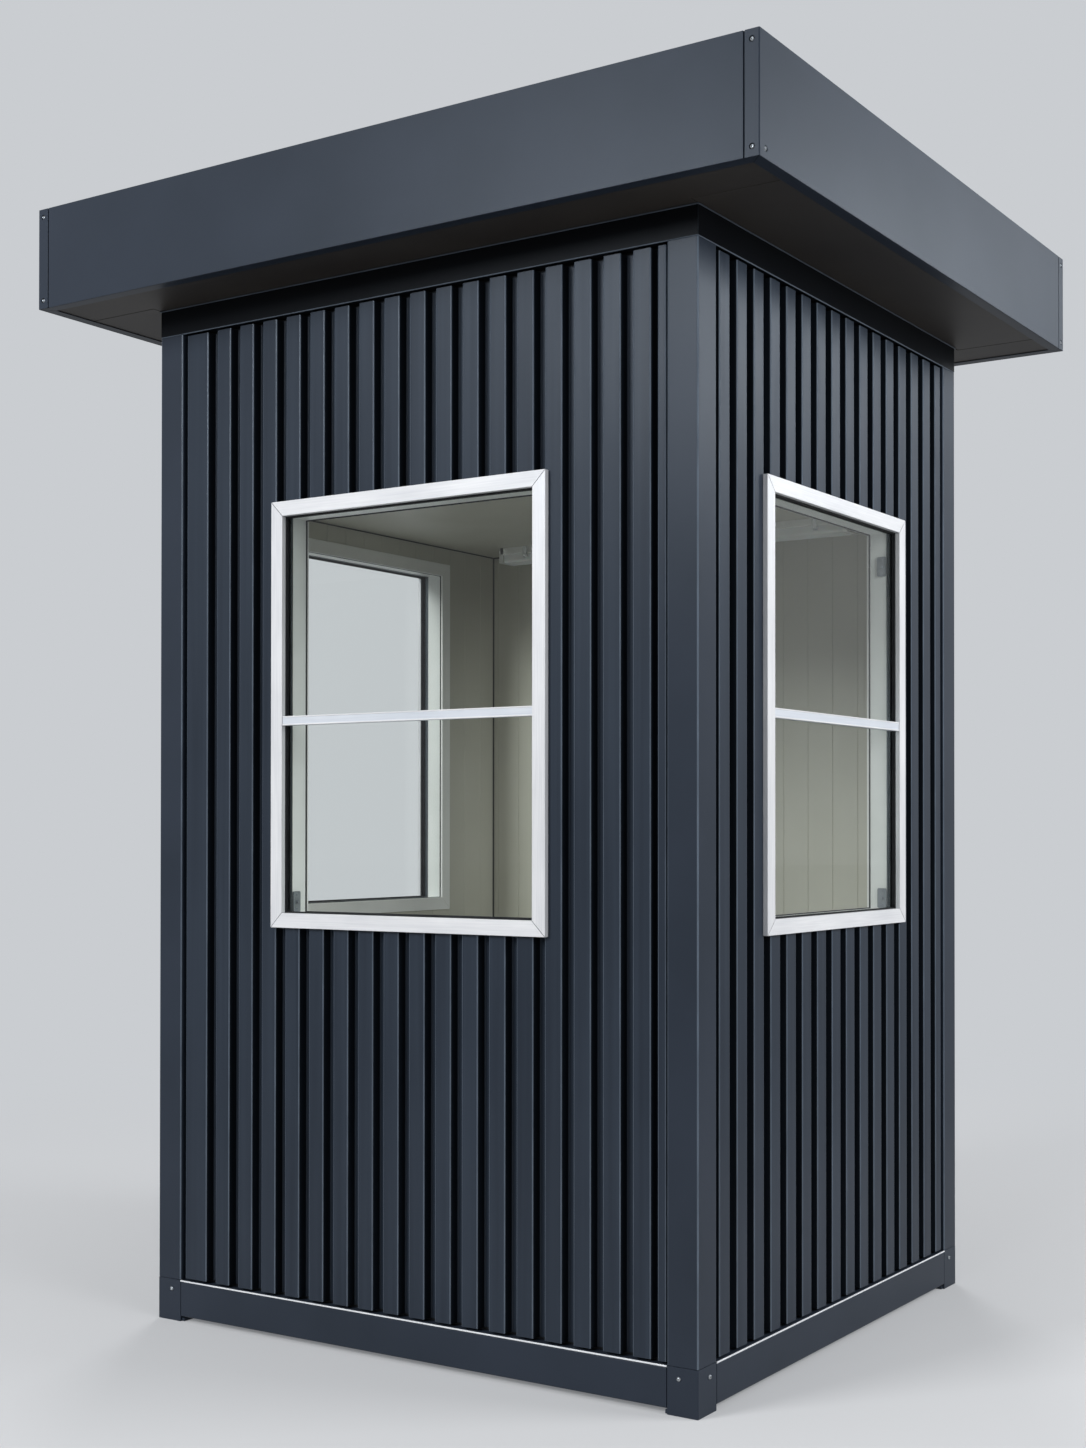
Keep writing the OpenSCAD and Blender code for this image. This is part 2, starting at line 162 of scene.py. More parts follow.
soft_box("left_box", (-2.9, -7.2, 4.8), 3.0, 3.0, 520)
soft_box("front_box", (0.6, -7.6, 4.2), 3.0, 3.0, 90)
soft_box("right_box", (5.8, 1.8, 3.8), 2.6, 2.6, 240)
soft_box("fill_box", (5.4, -1.6, 3.2), 2.4, 2.4, 120)
soft_box("back_box", (-4.6, 6.8, 4.8), 3.0, 3.0, 330)
soft_box("top_box", (0.0, 0.0, 6.5), 3.0, 3.0, 60)
soft_box("room_box", (0.1, -0.1, 0.2), 0.9, 0.7, 0.8, aim=(0.1, -0.1, 2))
soft_box("left_panel", (-1.4, -4.6, 3.6), 1.8, 1.0, 82, aim=(-1.4, 0, 3.6), sheen=True)
soft_box("right_panel", (4.3, 5.1, 4.05), 2.8, 1.3, 102, aim=(0, 5.1, 4.05), sheen=True)

# ---- Corner feet ----
# Square steel blocks welded under the posts, each on a slightly wider bearing plate. They are
# coated with the frame, so their rounded edges catch a thin light line.
MM = 0.001
SEAT = 0.2               # clearance that keeps pieces which touch from sharing a face
FREE = 0.3               # a little more of it, where an edge shows
JOINT = 0.5              # hairline between pieces that butt
ARC_STEPS = 2            # rounded corners are turned in this many steps per 30 degrees
SHARP = math.radians(35)
FOOT_EDGE = 3.0
FOOT_BODY_TOP = 97.0
FOOT_SKIN = 5.0
PLATE_SPREAD = 8.0
PLATE_T = 8.0
PEEL = (5.0, 1, 0.03)    # orange peel; the real one is near 2 mm wide, too fine to show


def span(node):
    """Lowest and highest corners of a CAD node, in millimetres."""
    low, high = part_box(node)
    return low / MM, high / MM


HALF_W, HALF_D, FOOT_TOP = span("corner_feet")[1]
POST_W = HALF_W - span("front_base_rail")[1].x


def corners(half_x, half_y):
    """The four corners of a plan about the middle of the booth."""
    return [(sx * half_x, sy * half_y) for sx in (-1, 1) for sy in (-1, 1)]


def rounded(points, closed=True):
    """The (a, b) points of an outline of (a, b, radius) corners, turned as arcs."""
    places = [complex(a, b) for a, b, _ in points]
    line = []
    for k, (here, (_, _, radius)) in enumerate(zip(places, points)):
        if not radius or (not closed and k in (0, len(places) - 1)):
            line.append(here)
            continue
        back = places[k - 1] - here
        ahead = places[(k + 1) % len(places)] - here
        room = 0.48 * min(abs(back), abs(ahead))
        back, ahead = back / abs(back), ahead / abs(ahead)
        half = abs(cmath.phase(ahead / back)) / 2
        radius = min(radius, room * math.tan(half))
        centre = here + (back + ahead) / abs(back + ahead) * radius / math.sin(half)
        start = here + back * radius / math.tan(half) - centre
        turn = cmath.phase((here + ahead * radius / math.tan(half) - centre) / start)
        steps = max(2, round(ARC_STEPS * abs(turn) / math.radians(30)))
        line += [centre + start * cmath.exp(1j * turn * s / steps) for s in range(steps + 1)]
    return [(p.real, p.imag) for p in line]


def run(bm, *outlines):
    """A closed solid through equal outlines, joined point by point."""
    rings = [[bm.verts.new(p) for p in outline] for outline in outlines]
    for near, far in zip(rings, rings[1:]):
        for k in range(len(near)):
            n = (k + 1) % len(near)
            bm.faces.new((near[k], near[n], far[n], far[k]))
    bm.faces.new(rings[0][::-1])
    bm.faces.new(rings[-1])


def slab(bm, outline, zs):
    """A solid of that (x, y) outline between two heights."""
    run(bm, *([(x, y, z) for x, y in outline] for z in zs))


def column(bm, corner, outline, zs):
    """The same, with an outline counted inwards from a corner."""
    x, y = corner
    slab(bm, [(x - math.copysign(a, x), y - math.copysign(b, y)) for a, b in outline], zs)


def finish(bm, name, material, slot, *nodes, edge=0.0, turn=True):
    """Makes a piece of a drawing in millimetres and empties it. edge is its arrises' radius."""
    bmesh.ops.scale(bm, vec=(MM, MM, MM), verts=bm.verts)
    if turn:
        bmesh.ops.recalc_face_normals(bm, faces=bm.faces)
    mesh = bpy.data.meshes.new(name)
    bm.to_mesh(mesh)
    bm.clear()
    mesh.polygons.foreach_set("use_smooth", [True] * len(mesh.polygons))
    mesh.materials.append(material)
    piece = bpy.data.objects.new(name, mesh)
    scene.collection.objects.link(piece)
    if edge:
        soft = piece.modifiers.new("edge", "BEVEL")
        soft.width = edge * MM
        soft.segments = 2
        soft.limit_method = "ANGLE"
        soft.angle_limit = SHARP
    else:
        mesh.set_sharp_from_angle(angle=SHARP)
    flat = piece.modifiers.new("flats", "WEIGHTED_NORMAL")
    flat.keep_sharp = True
    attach(piece, "root")
    if nodes:
        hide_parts(*nodes)
    return piece


def new_finish(name, **sockets):
    """A material with its even values on the shader, returned with its tree and shader."""
    material = bpy.data.materials.new(name)
    material.use_nodes = True
    shader = material.node_tree.nodes["Principled BSDF"]
    for socket, value in sockets.items():
        shader.inputs[socket.replace("_", " ")].default_value = value
    return material, material.node_tree, shader


def grain(tree, size, detail=2.0, stretch=(1, 1, 1)):
    """Noise of that size in millimetres, drawn out along an axis by stretch."""
    place = add_node(tree, "TexCoord").outputs["Object"]
    drawn = add_node(tree, "Mapping", {"Vector": place, "Scale": tuple(1 / s for s in stretch)})
    return add_node(tree, "TexNoise", {"Vector": drawn.outputs[0], "Scale": 1000 / size,
                                       "Detail": detail}).outputs["Fac"]


def vary(tree, source, low, high):
    """Takes the middle of a noise to the range from low to high."""
    return add_node(tree, "MapRange", {"Value": source, "From Min": 0.3, "From Max": 0.7,
                                       "To Min": low, "To Max": high}).outputs[0]


def tint(tree, shader, source, dark, light):
    """Colours a shader between two hex colours by a noise."""
    mix = add_node(tree, "Mix", {"Factor": vary(tree, source, 0, 1), 6: linear(dark), 7: linear(light)},
                   data_type="RGBA")
    tree.links.new(mix.outputs[2], shader.inputs["Base Color"])


def gloss(tree, shader, source, low, high):
    """Varies a shader's roughness by a noise."""
    tree.links.new(vary(tree, source, low, high), shader.inputs["Roughness"])


def relief(tree, shader, source, depth):
    """Raises a shader's surface by a noise, by a depth in millimetres."""
    bump = add_node(tree, "Bump", {"Height": source, "Distance": depth * MM, "Strength": 1.0})
    tree.links.new(bump.outputs[0], shader.inputs["Normal"])


def coat(name, dark, light, size, rough, detail=3, peel=None, **sockets):
    """A material that drifts between two hex colours over a size in millimetres. rough is a value,
    or a noise's size, detail and range, and peel a noise's size, detail and depth."""
    if isinstance(rough, float):
        sockets["Roughness"] = rough
    material, tree, shader = new_finish(name, **sockets)
    tint(tree, shader, grain(tree, size, detail), dark, light)
    if not isinstance(rough, float):
        gloss(tree, shader, grain(tree, *rough[:2]), *rough[2:])
    if peel:
        relief(tree, shader, grain(tree, *peel[:2]), peel[2])
    return material


# Polyester powder coat on steel: a satin film with a faint orange peel, a little cloudy in sheen
# over a hand's width.
coated_steel = coat("polyester-coated steel", "#262d37", "#2b323d", 260, (400, 2, 0.345, 0.375),
                    peel=PEEL, Specular_IOR_Level=0.2)
inside = FOOT_SKIN + SEAT
far = POST_W + PLATE_SPREAD
foot_skin = rounded([(0, 0, FOOT_EDGE), (POST_W, 0, 1), (POST_W, FOOT_SKIN, 0), (FOOT_SKIN, FOOT_SKIN, 0),
                     (FOOT_SKIN, POST_W, 0), (0, POST_W, 1)])
foot_core = rounded([(inside, inside, 0), (POST_W, inside, 0), (POST_W, POST_W, 2), (inside, POST_W, 0)])
foot_plate = rounded([(inside, inside, 0), (far, inside, 2), (far, far, 4), (inside, far, 2)])
bm = bmesh.new()
for corner in corners(HALF_W, HALF_D):
    column(bm, corner, foot_skin, (0, FOOT_TOP - JOINT))
    column(bm, corner, foot_core, (PLATE_T, FOOT_BODY_TOP))
    column(bm, corner, foot_plate, (0, PLATE_T - SEAT))
finish(bm, "feet", coated_steel, "coated_steel", "corner_feet", edge=0.7)

# ---- Foot screws ----
# Zinc-plated button-head screws with a hexagon socket, one in each outer face of a foot, bright
# on top and dark in the socket.
SCREW_R = 5.0
SCREW_H = 3.2
SOCKET_R = 1.9
SCREW_IN = 46.0          # from the corner of the foot
SCREW_Z = 77.0
SIDES = range(4)
FRONT, RIGHT, BACK, LEFT = SIDES
NAMES = ("front", "right", "back", "left")


def reach(side):
    """Distance of a side's face from the middle of the booth."""
    return HALF_W if side % 2 else HALF_D


def side_half(side):
    """Half the length of a side over its posts."""
    return HALF_D if side % 2 else HALF_W


def on_side(side, u, t, z):
    """A point of a side: u along it from its middle, t inwards from the posts."""
    x, y = u, t - reach(side)
    for _ in range(side):
        x, y = -y, x
    return Vector((x, y, z))


def circle(steps):
    """The (cosine, sine) pairs of a full turn in so many steps."""
    return [(math.cos(a), math.sin(a)) for a in (2 * math.pi * k / steps for k in range(steps))]


def screw_head(bm, side, u, t, z, turns=24):
    """A domed head with a hexagon socket on a side's surface at depth t."""
    sixth = math.pi / 3
    hexagon = [math.cos(sixth / 2) / math.cos((2 * math.pi * k / turns + sixth / 2) % sixth - sixth / 2)
               for k in range(turns)]
    profile = [(SOCKET_R, 1.2, hexagon), (SOCKET_R, 2.9, hexagon)]
    profile += [(radius, height, [1] * turns) for radius, height in
                ((2.9, SCREW_H), (4.0, 2.7), (4.7, 1.7), (SCREW_R, 0.5), (SCREW_R, -0.4))]
    run(bm, *([on_side(side, u + radius * out * c, t - height, z + radius * out * s)
               for out, (c, s) in zip(shape, circle(turns))] for radius, height, shape in profile))


zinc = coat("zinc-plated steel", "#a9adb0", "#c6cacd", 14, (6, 2, 0.18, 0.34), Metallic=1.0)
for side in SIDES:
    for end in (-1, 1):
        screw_head(bm, side, end * (side_half(side) - SCREW_IN), 0, SCREW_Z)
finish(bm, "foot_screws", zinc, "galvanised_steel")

# ---- Base rails ----
# Cold-rolled channel between the feet, open to the inside. Its bends are rounded, and a thin
# joint stays open where it is welded from behind to the feet.
RAIL_JOINT = 1.6
RAIL_BEND = 4.0
RAIL_T = 4.0


def off_side(side, point):
    """The (u, t, z) of a point in the booth."""
    x, y, z = point
    for _ in range(side):
        x, y = y, -x
    return x, y + reach(side), z


def side_span(node, side):
    """Lowest and highest (u, t, z) of a CAD node, counted on a side."""
    a, b = (off_side(side, p) for p in span(node))
    return [min(p) for p in zip(a, b)], [max(p) for p in zip(a, b)]


def each(sides, part):
    """Each side with its own node for a part, and that node's side_span."""
    for side in sides:
        node = NAMES[side] + "_" + part
        yield side, node, *side_span(node, side)


def channel(depth, z0, z1, thick, bend, inner_bend):
    """The (t, z) section of a folded channel that is open to the inside."""
    return rounded([(0, z0, bend), (0, z1, bend), (depth, z1, 0), (depth, z1 - thick, 0),
                    (thick, z1 - thick, inner_bend), (thick, z0 + thick, inner_bend), (depth, z0 + thick, 0),
                    (depth, z0, 0)])


def bar(bm, side, section, us):
    """A straight bar of that (t, z) section between two places along a side."""
    run(bm, *([on_side(side, u, t, z) for t, z in section] for u in us))


for side, node, low, high in each(SIDES, "base_rail"):
    end = side_half(side) - POST_W - RAIL_JOINT
    bar(bm, side, channel(high[1], low[2], high[2], RAIL_T, RAIL_BEND, 1), (-end, end))
    finish(bm, "rail_" + NAMES[side], coated_steel, "coated_steel", node, edge=0.5)

# ---- Drip strips ----
# Aluminium strips on the rails, which throw rain clear of the base. Each has a rounded nose of
# bright metal, a fine light line, and a coated bed behind it under the ribs.
STRIP_NOSE = 1.2         # how far the nose stands proud
STRIP_JOINT = 0.6
NOSE_BACK = 1.0          # depth at which the bed starts
BED_DROP = 0.9           # from the nose's top down to the bed
WALL_FACE = span("front_wall")[0].y + HALF_D
bright_strip = coat("mill-bright aluminium", "#e6e9ee", "#f4f6f9", 30, (12, 2, 0.24, 0.38), Metallic=0.3)


def oblong(low, high, radius=0.0):
    """A rectangle between two (a, b) corners."""
    return rounded([(low[0], low[1], radius), (high[0], low[1], radius), (high[0], high[1], radius),
                    (low[0], high[1], radius)])


def plan(bm, side, outline, zs):
    """A solid of that (u, t) outline between two heights of a side."""
    run(bm, *([on_side(side, u, t, z) for u, t in outline] for z in zs))


def block(bm, side, us, ts, zs):
    """A block of a side, between two values each of u, t and z."""
    plan(bm, side, oblong((us[0], ts[0]), (us[1], ts[1])), zs)


low, high = span("drip_strips")
z0, z1 = low.z + SEAT, high.z - SEAT
nose = rounded([(-STRIP_NOSE, z0, STRIP_NOSE), (-STRIP_NOSE, z1, STRIP_NOSE), (NOSE_BACK, z1, 0),
                (NOSE_BACK, z0, 0)])
beds = bmesh.new()
for side in SIDES:
    end = side_half(side) - POST_W - STRIP_JOINT
    bar(bm, side, nose, (-end, end))
    block(beds, side, (-end, end), (NOSE_BACK + SEAT / 2, WALL_FACE - 1), (z0, high.z - BED_DROP))
finish(bm, "drip_noses", bright_strip, "bright_aluminium", "drip_strips")
finish(beds, "drip_strip_beds", coated_steel, "coated_steel", edge=0.2)

# ---- Floor ----
# Board under grey vinyl sheet with a fine speckle, its edges near-black as painted shade where they
# show in the gaps, and a coved skirting of the same vinyl run up the walls and stopped at the door
# frame.
VINYL_T = 3.0
COVE = 45.0
COVE_T = 6.0
COVE_R = 16.0
COVE_FOOT = 2.0
FLANGE = 15.0            # how far the door frame's flange laps over the wall beside its opening
ROOM_T = span("front_window_frame")[1].y + HALF_D      # depth of the walls' inner faces
# Near-black skin: painted shade, so that the gaps behind the ribs stay dark.
gap_shade_skin = coat("black skin, painted shade in the gaps", "#0b0d10", "#111418", 80, 0.6, detail=2)
vinyl = coat("speckled vinyl sheet", "#6d6e6c", "#888986", 3.5, 0.55, detail=1, peel=(5, 2, 0.08))


def recoat(piece, material, chosen):
    """Gives the chosen faces of a piece another material."""
    piece.data.materials.append(material)
    for face in piece.data.polygons:
        if chosen(face):
            face.material_index = len(piece.data.materials) - 1


def rect(low, high, grow=0.0):
    """The u and z of a rectangle on a side, wider all round by grow."""
    return (low[0] - grow, high[0] + grow), (low[2] - grow, high[2] + grow)


def hole(side, grow=0.0):
    """The same for the opening in a side's wall."""
    if side == BACK:
        us, (_, top) = rect(*side_span("door_frame", side), grow - FLANGE)
        return us, (0, top)
    return rect(*side_span(NAMES[side] + "_window_frame", side), grow)


low, high = span("floor_panel")
floor_z = high.z
for zs in ((low.z + SEAT, high.z - VINYL_T), (high.z - VINYL_T + SEAT / 2, high.z - SEAT / 2)):
    slab(bm, oblong(low, high), zs)
piece = finish(bm, "vinyl_floor", vinyl, "floor_covering", "floor_panel", edge=0.6)
# The floor's edges take the near-black skin as painted shade.
recoat(piece, gap_shade_skin, lambda face: max(abs(face.normal.x), abs(face.normal.y)) > 0.3)
cove_t = ROOM_T + COVE_T
top = floor_z + COVE
cove = [(ROOM_T + FREE, floor_z), (cove_t + COVE_R, floor_z)]
cove += [(cove_t + COVE_R * (1 - math.sin(a)), floor_z + COVE_FOOT + COVE_R * (1 - math.cos(a)))
         for a in (math.pi / 12 * k for k in range(7))]
cove += [(cove_t, top), (cove_t - 2, top + 2), (ROOM_T + FREE, top + 2)]
for side in SIDES:
    half = side_half(side)
    doorway = hole(BACK)[0]
    for u0, u1 in [(-half, doorway[0]), (doorway[1], half)] if side == BACK else [(-half, half)]:
        run(bm, [on_side(side, max(u0, t - half), t, z) for t, z in cove],
            [on_side(side, min(u1, half - t), t, z) for t, z in cove])
finish(bm, "coved_skirting", vinyl, "floor_covering", edge=0.4)

# ---- Corner posts ----
# Rolled angles with returned lips, in the same coat. Their bends take a paler coat, a painted
# highlight that shows as soft light lines.
POST_T = 3.0
LIP = 30.0
BEND = 3.6
CORNER_BEND = 4.2
FLAT = 0.97              # a face that leans less than this from an axis, as a cosine, is a flat
lip_in = POST_W - POST_T
post = rounded([(LIP, POST_W, 0), (0, POST_W, BEND), (0, 0, CORNER_BEND), (POST_W, 0, BEND),
                (POST_W, LIP, 0), (lip_in, LIP, 0), (lip_in, POST_T, 0.8), (POST_T, POST_T, 1.2),
                (POST_T, lip_in, 0.8), (LIP, lip_in, 0)])
# A paler coat on bends and beads: painted highlight, for the light lines that bends catch.
bend_highlight_coat = coat("pale bend coat, painted highlight", "#454f5b", "#55606d", 90, 0.30)


def off_axis(face):
    """True where a face looks along no axis."""
    return max(abs(c) for c in face.normal) < FLAT


for corner in corners(HALF_W, HALF_D):
    name = ("front_" if corner[1] < 0 else "back_") + ("left" if corner[0] < 0 else "right") + "_post"
    low, high = span(name)
    column(bm, corner, post, (low.z + JOINT, high.z - SEAT))
    piece = finish(bm, "corner_" + name, coated_steel, "coated_steel", name, edge=0.6)
    recoat(piece, bend_highlight_coat, off_axis)

# ---- Insulated wall panels ----
# Foam-cored panels with a near-black skin outside, painted shade that keeps the gaps behind the ribs
# dark, and an off-white coated one indoors, rolled with a fine groove every 75 mm. They meet in the
# corners with a thin open joint.
GROOVE_PITCH = 75.0
GROOVE_W = 3.4
GROOVE_D = 1.6
GROOVE_EDGE = 20.0       # least distance of a groove from a panel's edge
CORNER_JOINT = 1.5
THROUGH = (-50, 150)     # depths that pass right through a wall
panel_skin = coat("off-white coated sheet", "#bcbaad", "#cac8bd", 420, (120, 3, 0.38, 0.48),
                  peel=(6.0, 1, 0.04))


def passing(bm):
    """An object that holds a drawing for as long as it is cut."""
    bmesh.ops.recalc_face_normals(bm, faces=bm.faces)
    mesh = bpy.data.meshes.new("passing")
    bm.to_mesh(mesh)
    bm.free()
    part = bpy.data.objects.new("passing", mesh)
    scene.collection.objects.link(part)
    return part


def cut_out(body, cutter):
    """Cuts one object out of another by a modifier."""
    cut = body.modifiers.new("cut", "BOOLEAN")
    cut.object = cutter
    cut.solver = "EXACT"


def discard(*parts):
    """Removes passing objects with their meshes."""
    for part in parts:
        mesh = part.data
        bpy.data.objects.remove(part)
        bpy.data.meshes.remove(mesh)


def carve(bm, side, us, ts, zs):
    """Cuts a block out of a drawing and returns the new drawing."""
    bit = bmesh.new()
    block(bit, side, us, ts, zs)
    body, cutter = passing(bm), passing(bit)
    cut_out(body, cutter)
    result = bmesh.new()
    result.from_object(body, bpy.context.evaluated_depsgraph_get())
    discard(body, cutter)
    return result


def depth_of(side, face):
    """How far a finished face lies inwards from a side's posts."""
    return off_side(side, face.center / MM)[1]


for side, node, low, high in each(SIDES, "wall"):
    joint = CORNER_JOINT if side % 2 else 0
    u0, u1 = low[0] + joint, high[0] - joint
    outline = [(u0, low[1] + SEAT), (u1, low[1] + SEAT), (u1, high[1])]
    count = int(((u1 - u0) / 2 - GROOVE_EDGE) / GROOVE_PITCH)
    for k in range(count, -count - 1, -1):
        u = k * GROOVE_PITCH
        outline += [(u + GROOVE_W / 2, high[1]), (u, high[1] - GROOVE_D), (u - GROOVE_W / 2, high[1])]
    outline.append((u0, high[1]))
    plan(bm, side, outline, (low[2] + FREE, high[2] - FREE))
    us, zs = hole(side)
    bm = carve(bm, side, us, THROUGH, zs)
    piece = finish(bm, "panel_" + NAMES[side], panel_skin, "white_panel", node)
    # The outer faces take the near-black skin as painted shade.
    recoat(piece, gap_shade_skin, lambda face: depth_of(side, face) < low[1] + 1)

# ---- Ribbed sheets ----
# Roll-formed box-profile sheet, coated like the frame, with small arcs for folds and faint lines
# from the rolls. It stops short of the ring beam. The ribs' flanks take a near-black coat as painted
# shade, and their front bends the paler one as painted highlight.
FOLD = 3.4
SHEET_T = 1.0
CAD_SHEET_T = 2.0
TOP_GAP = 5.0
LAP = 2.0                # how far the sheets reach into the openings, under the trims
FLANK = 0.36             # a face that looks outwards less than this, as a cosine, is a flank
ROLLED = (1, 1, 60)
ribbed_steel, tree, shader = new_finish("roll-formed coated sheet", Specular_IOR_Level=0.2)


def blend(tree, a, b):
    """The mean of two noises."""
    return math_node(tree, "MULTIPLY", math_node(tree, "ADD", a, b), 0.5)


lines = grain(tree, 16, 2, ROLLED)    # roll marks, drawn wide enough to show
tint(tree, shader, blend(tree, lines, grain(tree, 240, 3, (1, 1, 2.5))), "#222933", "#2e3641")
gloss(tree, shader, grain(tree, 60, 2, (1, 1, 8)), 0.33, 0.39)
relief(tree, shader, lines, 0.05)
# Near-black on the flanks: painted shade, where the ribs' own shadow falls.
flank_shade_coat, tree, shader = new_finish("dark flank coat, painted shade", Roughness=0.5, Specular_IOR_Level=0.12)
tint(tree, shader, grain(tree, 16, 2, ROLLED), "#0f1318", "#161b22")
for side, node, low, high in each(SIDES, "cladding"):
    crown_t = low[1]
    points = [off_side(side, v.co / MM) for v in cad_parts[node].data.vertices]
    pan_t = max(t for _, t, _ in points) - CAD_SHEET_T
    crowns, feet = (sorted({round(u, 2) for u, t, z in points if z > high[2] - 1 and abs(t - level) < 0.1})
                    for level in (crown_t, pan_t))
    line = [(feet[0], pan_t, 0)]
    for k in range(0, len(crowns), 2):
        line += [(feet[k + 1], pan_t, FOLD), (crowns[k], crown_t, FOLD), (crowns[k + 1], crown_t, FOLD),
                 (feet[k + 2], pan_t, FOLD)]
    line = rounded(line + [(feet[-1], pan_t, 0)], closed=False)
    ends = (low[2], high[2] - TOP_GAP)
    foot, head = ([bm.verts.new(on_side(side, u, t, z)) for u, t in line] for z in ends)
    for k in range(len(line) - 1):
        bm.faces.new((foot[k], foot[k + 1], head[k + 1], head[k]))
    us, zs = hole(side, -LAP)
    along = on_side(side, 1, 0, 0) - on_side(side, 0, 0, 0)
    cuts = [(on_side(side, u, 0, 0), along) for u in us] + [((0, 0, z), (0, 0, 1)) for z in zs]
    for place, normal in cuts:
        whole = bm.verts[:] + bm.edges[:] + bm.faces[:]
        bmesh.ops.bisect_plane(bm, geom=whole, plane_co=place, plane_no=normal)
    gone = []
    for face in bm.faces:
        u, _, z = off_side(side, face.calc_center_median())
        if us[0] < u < us[1] and zs[0] < z < zs[1]:
            gone.append(face)
    bmesh.ops.delete(bm, geom=gone, context="FACES")
    piece = finish(bm, "ribbed_sheet_" + NAMES[side], ribbed_steel, "coated_steel", node, turn=False)
    outward = on_side(side, 0, -1, 0) - on_side(side, 0, 0, 0)
    # Front bends: painted highlight; flanks: painted shade.
    recoat(piece, bend_highlight_coat, lambda face: FLANK < face.normal.dot(outward) < FLAT
           and depth_of(side, face) < crown_t + FOLD)
    recoat(piece, flank_shade_coat, lambda face: abs(face.normal.dot(outward)) < FLANK)
    thick = piece.modifiers.new("thickness", "SOLIDIFY")
    thick.thickness = SHEET_T * MM
    thick.offset = -1
    piece.modifiers.move(1, 0)

# ---- Window trims ----
# Four mitred flat bars of brushed, clear-anodised aluminium around each window, proud of the
# ribs, with eased edges and a hairline at each mitre.
TRIM_W = 35.0
TRIM_EASE = 1.4
MITRE = 1.0              # each bar's share of the joint, drawn wide enough to show as a line
WINDOWS = (FRONT, RIGHT, LEFT)


def brushed(name, dark, light, rough, stretch, metallic=1.0):
    """Brushed aluminium: fine scratches along the bar, and a softly uneven sheen."""
    material, tree, shader = new_finish(name, Metallic=metallic)
    scratch = grain(tree, 2.5, 3, stretch)
    mixed = blend(tree, scratch, grain(tree, 60, 3, tuple(s ** 0.3 for s in stretch)))
    tint(tree, shader, mixed, dark, light)
    gloss(tree, shader, mixed, rough - 0.08, rough + 0.08)
    relief(tree, shader, scratch, 0.02)
    return material


BRIGHT = ("#ced0d4", "#e6e7e9", 0.36)
brushed_level = brushed("brushed aluminium, level bars", *BRIGHT, (50, 50, 1), metallic=0.06)
brushed_upright = brushed("brushed aluminium, upright bars", *BRIGHT, (1, 1, 50), metallic=0.15)


def bar_frame(name, side, us, zs, section, level, upright, slot, *nodes, edge=0.0, joint=MITRE):
    """Four mitred bars around a rectangle, with a (distance inwards, depth) section."""
    bm = bmesh.new()
    ways = (1, -1)
    for z, up in zip(zs, ways):
        run(bm, *([on_side(side, u + way * (d + joint), t, z + up * d) for d, t in section]
                  for u, way in zip(us, ways)))
    count = len(bm.faces)
    for u, way in zip(us, ways):
        run(bm, *([on_side(side, u + way * d, t, z + up * (d + joint)) for d, t in section]
                  for z, up in zip(zs, ways)))
    bm.faces.ensure_lookup_table()
    for face in bm.faces[count:]:
        face.material_index = 1
    piece = finish(bm, name, level, slot, *nodes, edge=edge)
    piece.data.materials.append(upright)


for side, node, low, high in each(WINDOWS, "window_trim"):
    t0, t1 = low[1], high[1]
    flat = rounded([(0, t1, 0), (0, t0, TRIM_EASE), (TRIM_W, t0, TRIM_EASE), (TRIM_W, t1, 0)])
    bar_frame("trim_bars_" + NAMES[side], side, *rect(low, high), flat, brushed_level, brushed_upright,
              "bright_aluminium", node, edge=0.4)

# ---- Window frames ----
# Grey anodised aluminium profiles, mitred, with a glazing groove and a shallow channel indoors.
# A grey-white coated lining covers the rest of the reveal behind each profile.
FRAME_W = 20.0
PROFILE_D = 31.5         # depth at which the profile ends and the lining starts
CHANNEL = (22.0, 26.5)   # depths between which the channel runs
CHANNEL_D = 1.6
LINING_STEP = 1.2        # how far the lining stands back from the profile
LINING_T = 3.0
GREY = ("#596165", "#767d81", 0.4)
anodised = [brushed("grey anodised aluminium, level", *GREY, (40, 40, 1)),
            brushed("grey anodised aluminium, upright", *GREY, (1, 1, 40))]
lining_white = coat("grey-white coated lining", "#e4e6e3", "#eff0ee", 150, 0.36, peel=(6.0, 1, 0.03))
clear = {}               # the clear opening inside each frame, as its u and z
for side, node, low, high in each(WINDOWS, "window_frame"):
    pane_low, pane_high = side_span(NAMES[side] + "_window_glass", side)
    groove = pane_low[0] - low[0] - FREE
    t0, t1 = low[1] + SEAT, high[1] - SEAT
    pane0, pane1 = pane_low[1] - SEAT, pane_high[1] + SEAT
    back = FRAME_W - LINING_T
    bed = FRAME_W - CHANNEL_D
    section = rounded([(SEAT, t0, 0), (FRAME_W - 1, t0, 0), (FRAME_W - 1, pane0, 0), (groove, pane0, 0),
                       (groove, pane1, 0), (FRAME_W, pane1, 0.8), (FRAME_W, CHANNEL[0], 0.8),
                       (bed, CHANNEL[0] + 0.5, 0.3), (bed, CHANNEL[1] - 0.5, 0.3),
                       (FRAME_W, CHANNEL[1], 0.8), (FRAME_W, PROFILE_D, 0.8), (back, PROFILE_D, 0),
                       (back, t1, 0), (SEAT, t1, 0)])
    bar_frame("frame_bars_" + NAMES[side], side, *rect(low, high), section, *anodised, "frame_aluminium",
              node, joint=0.15)
    face = FRAME_W - LINING_STEP
    start, end = PROFILE_D + FREE, high[1] - 3
    section = rounded([(back + SEAT, start, 0), (face, start, 0.4), (face, end, 0.8), (back + SEAT, end, 0)])
    bar_frame("lining_" + NAMES[side], side, *rect(low, high), section, lining_white, lining_white,
              "white_panel", node, joint=SEAT / 2)
    clear[side] = rect(low, high, -FRAME_W)

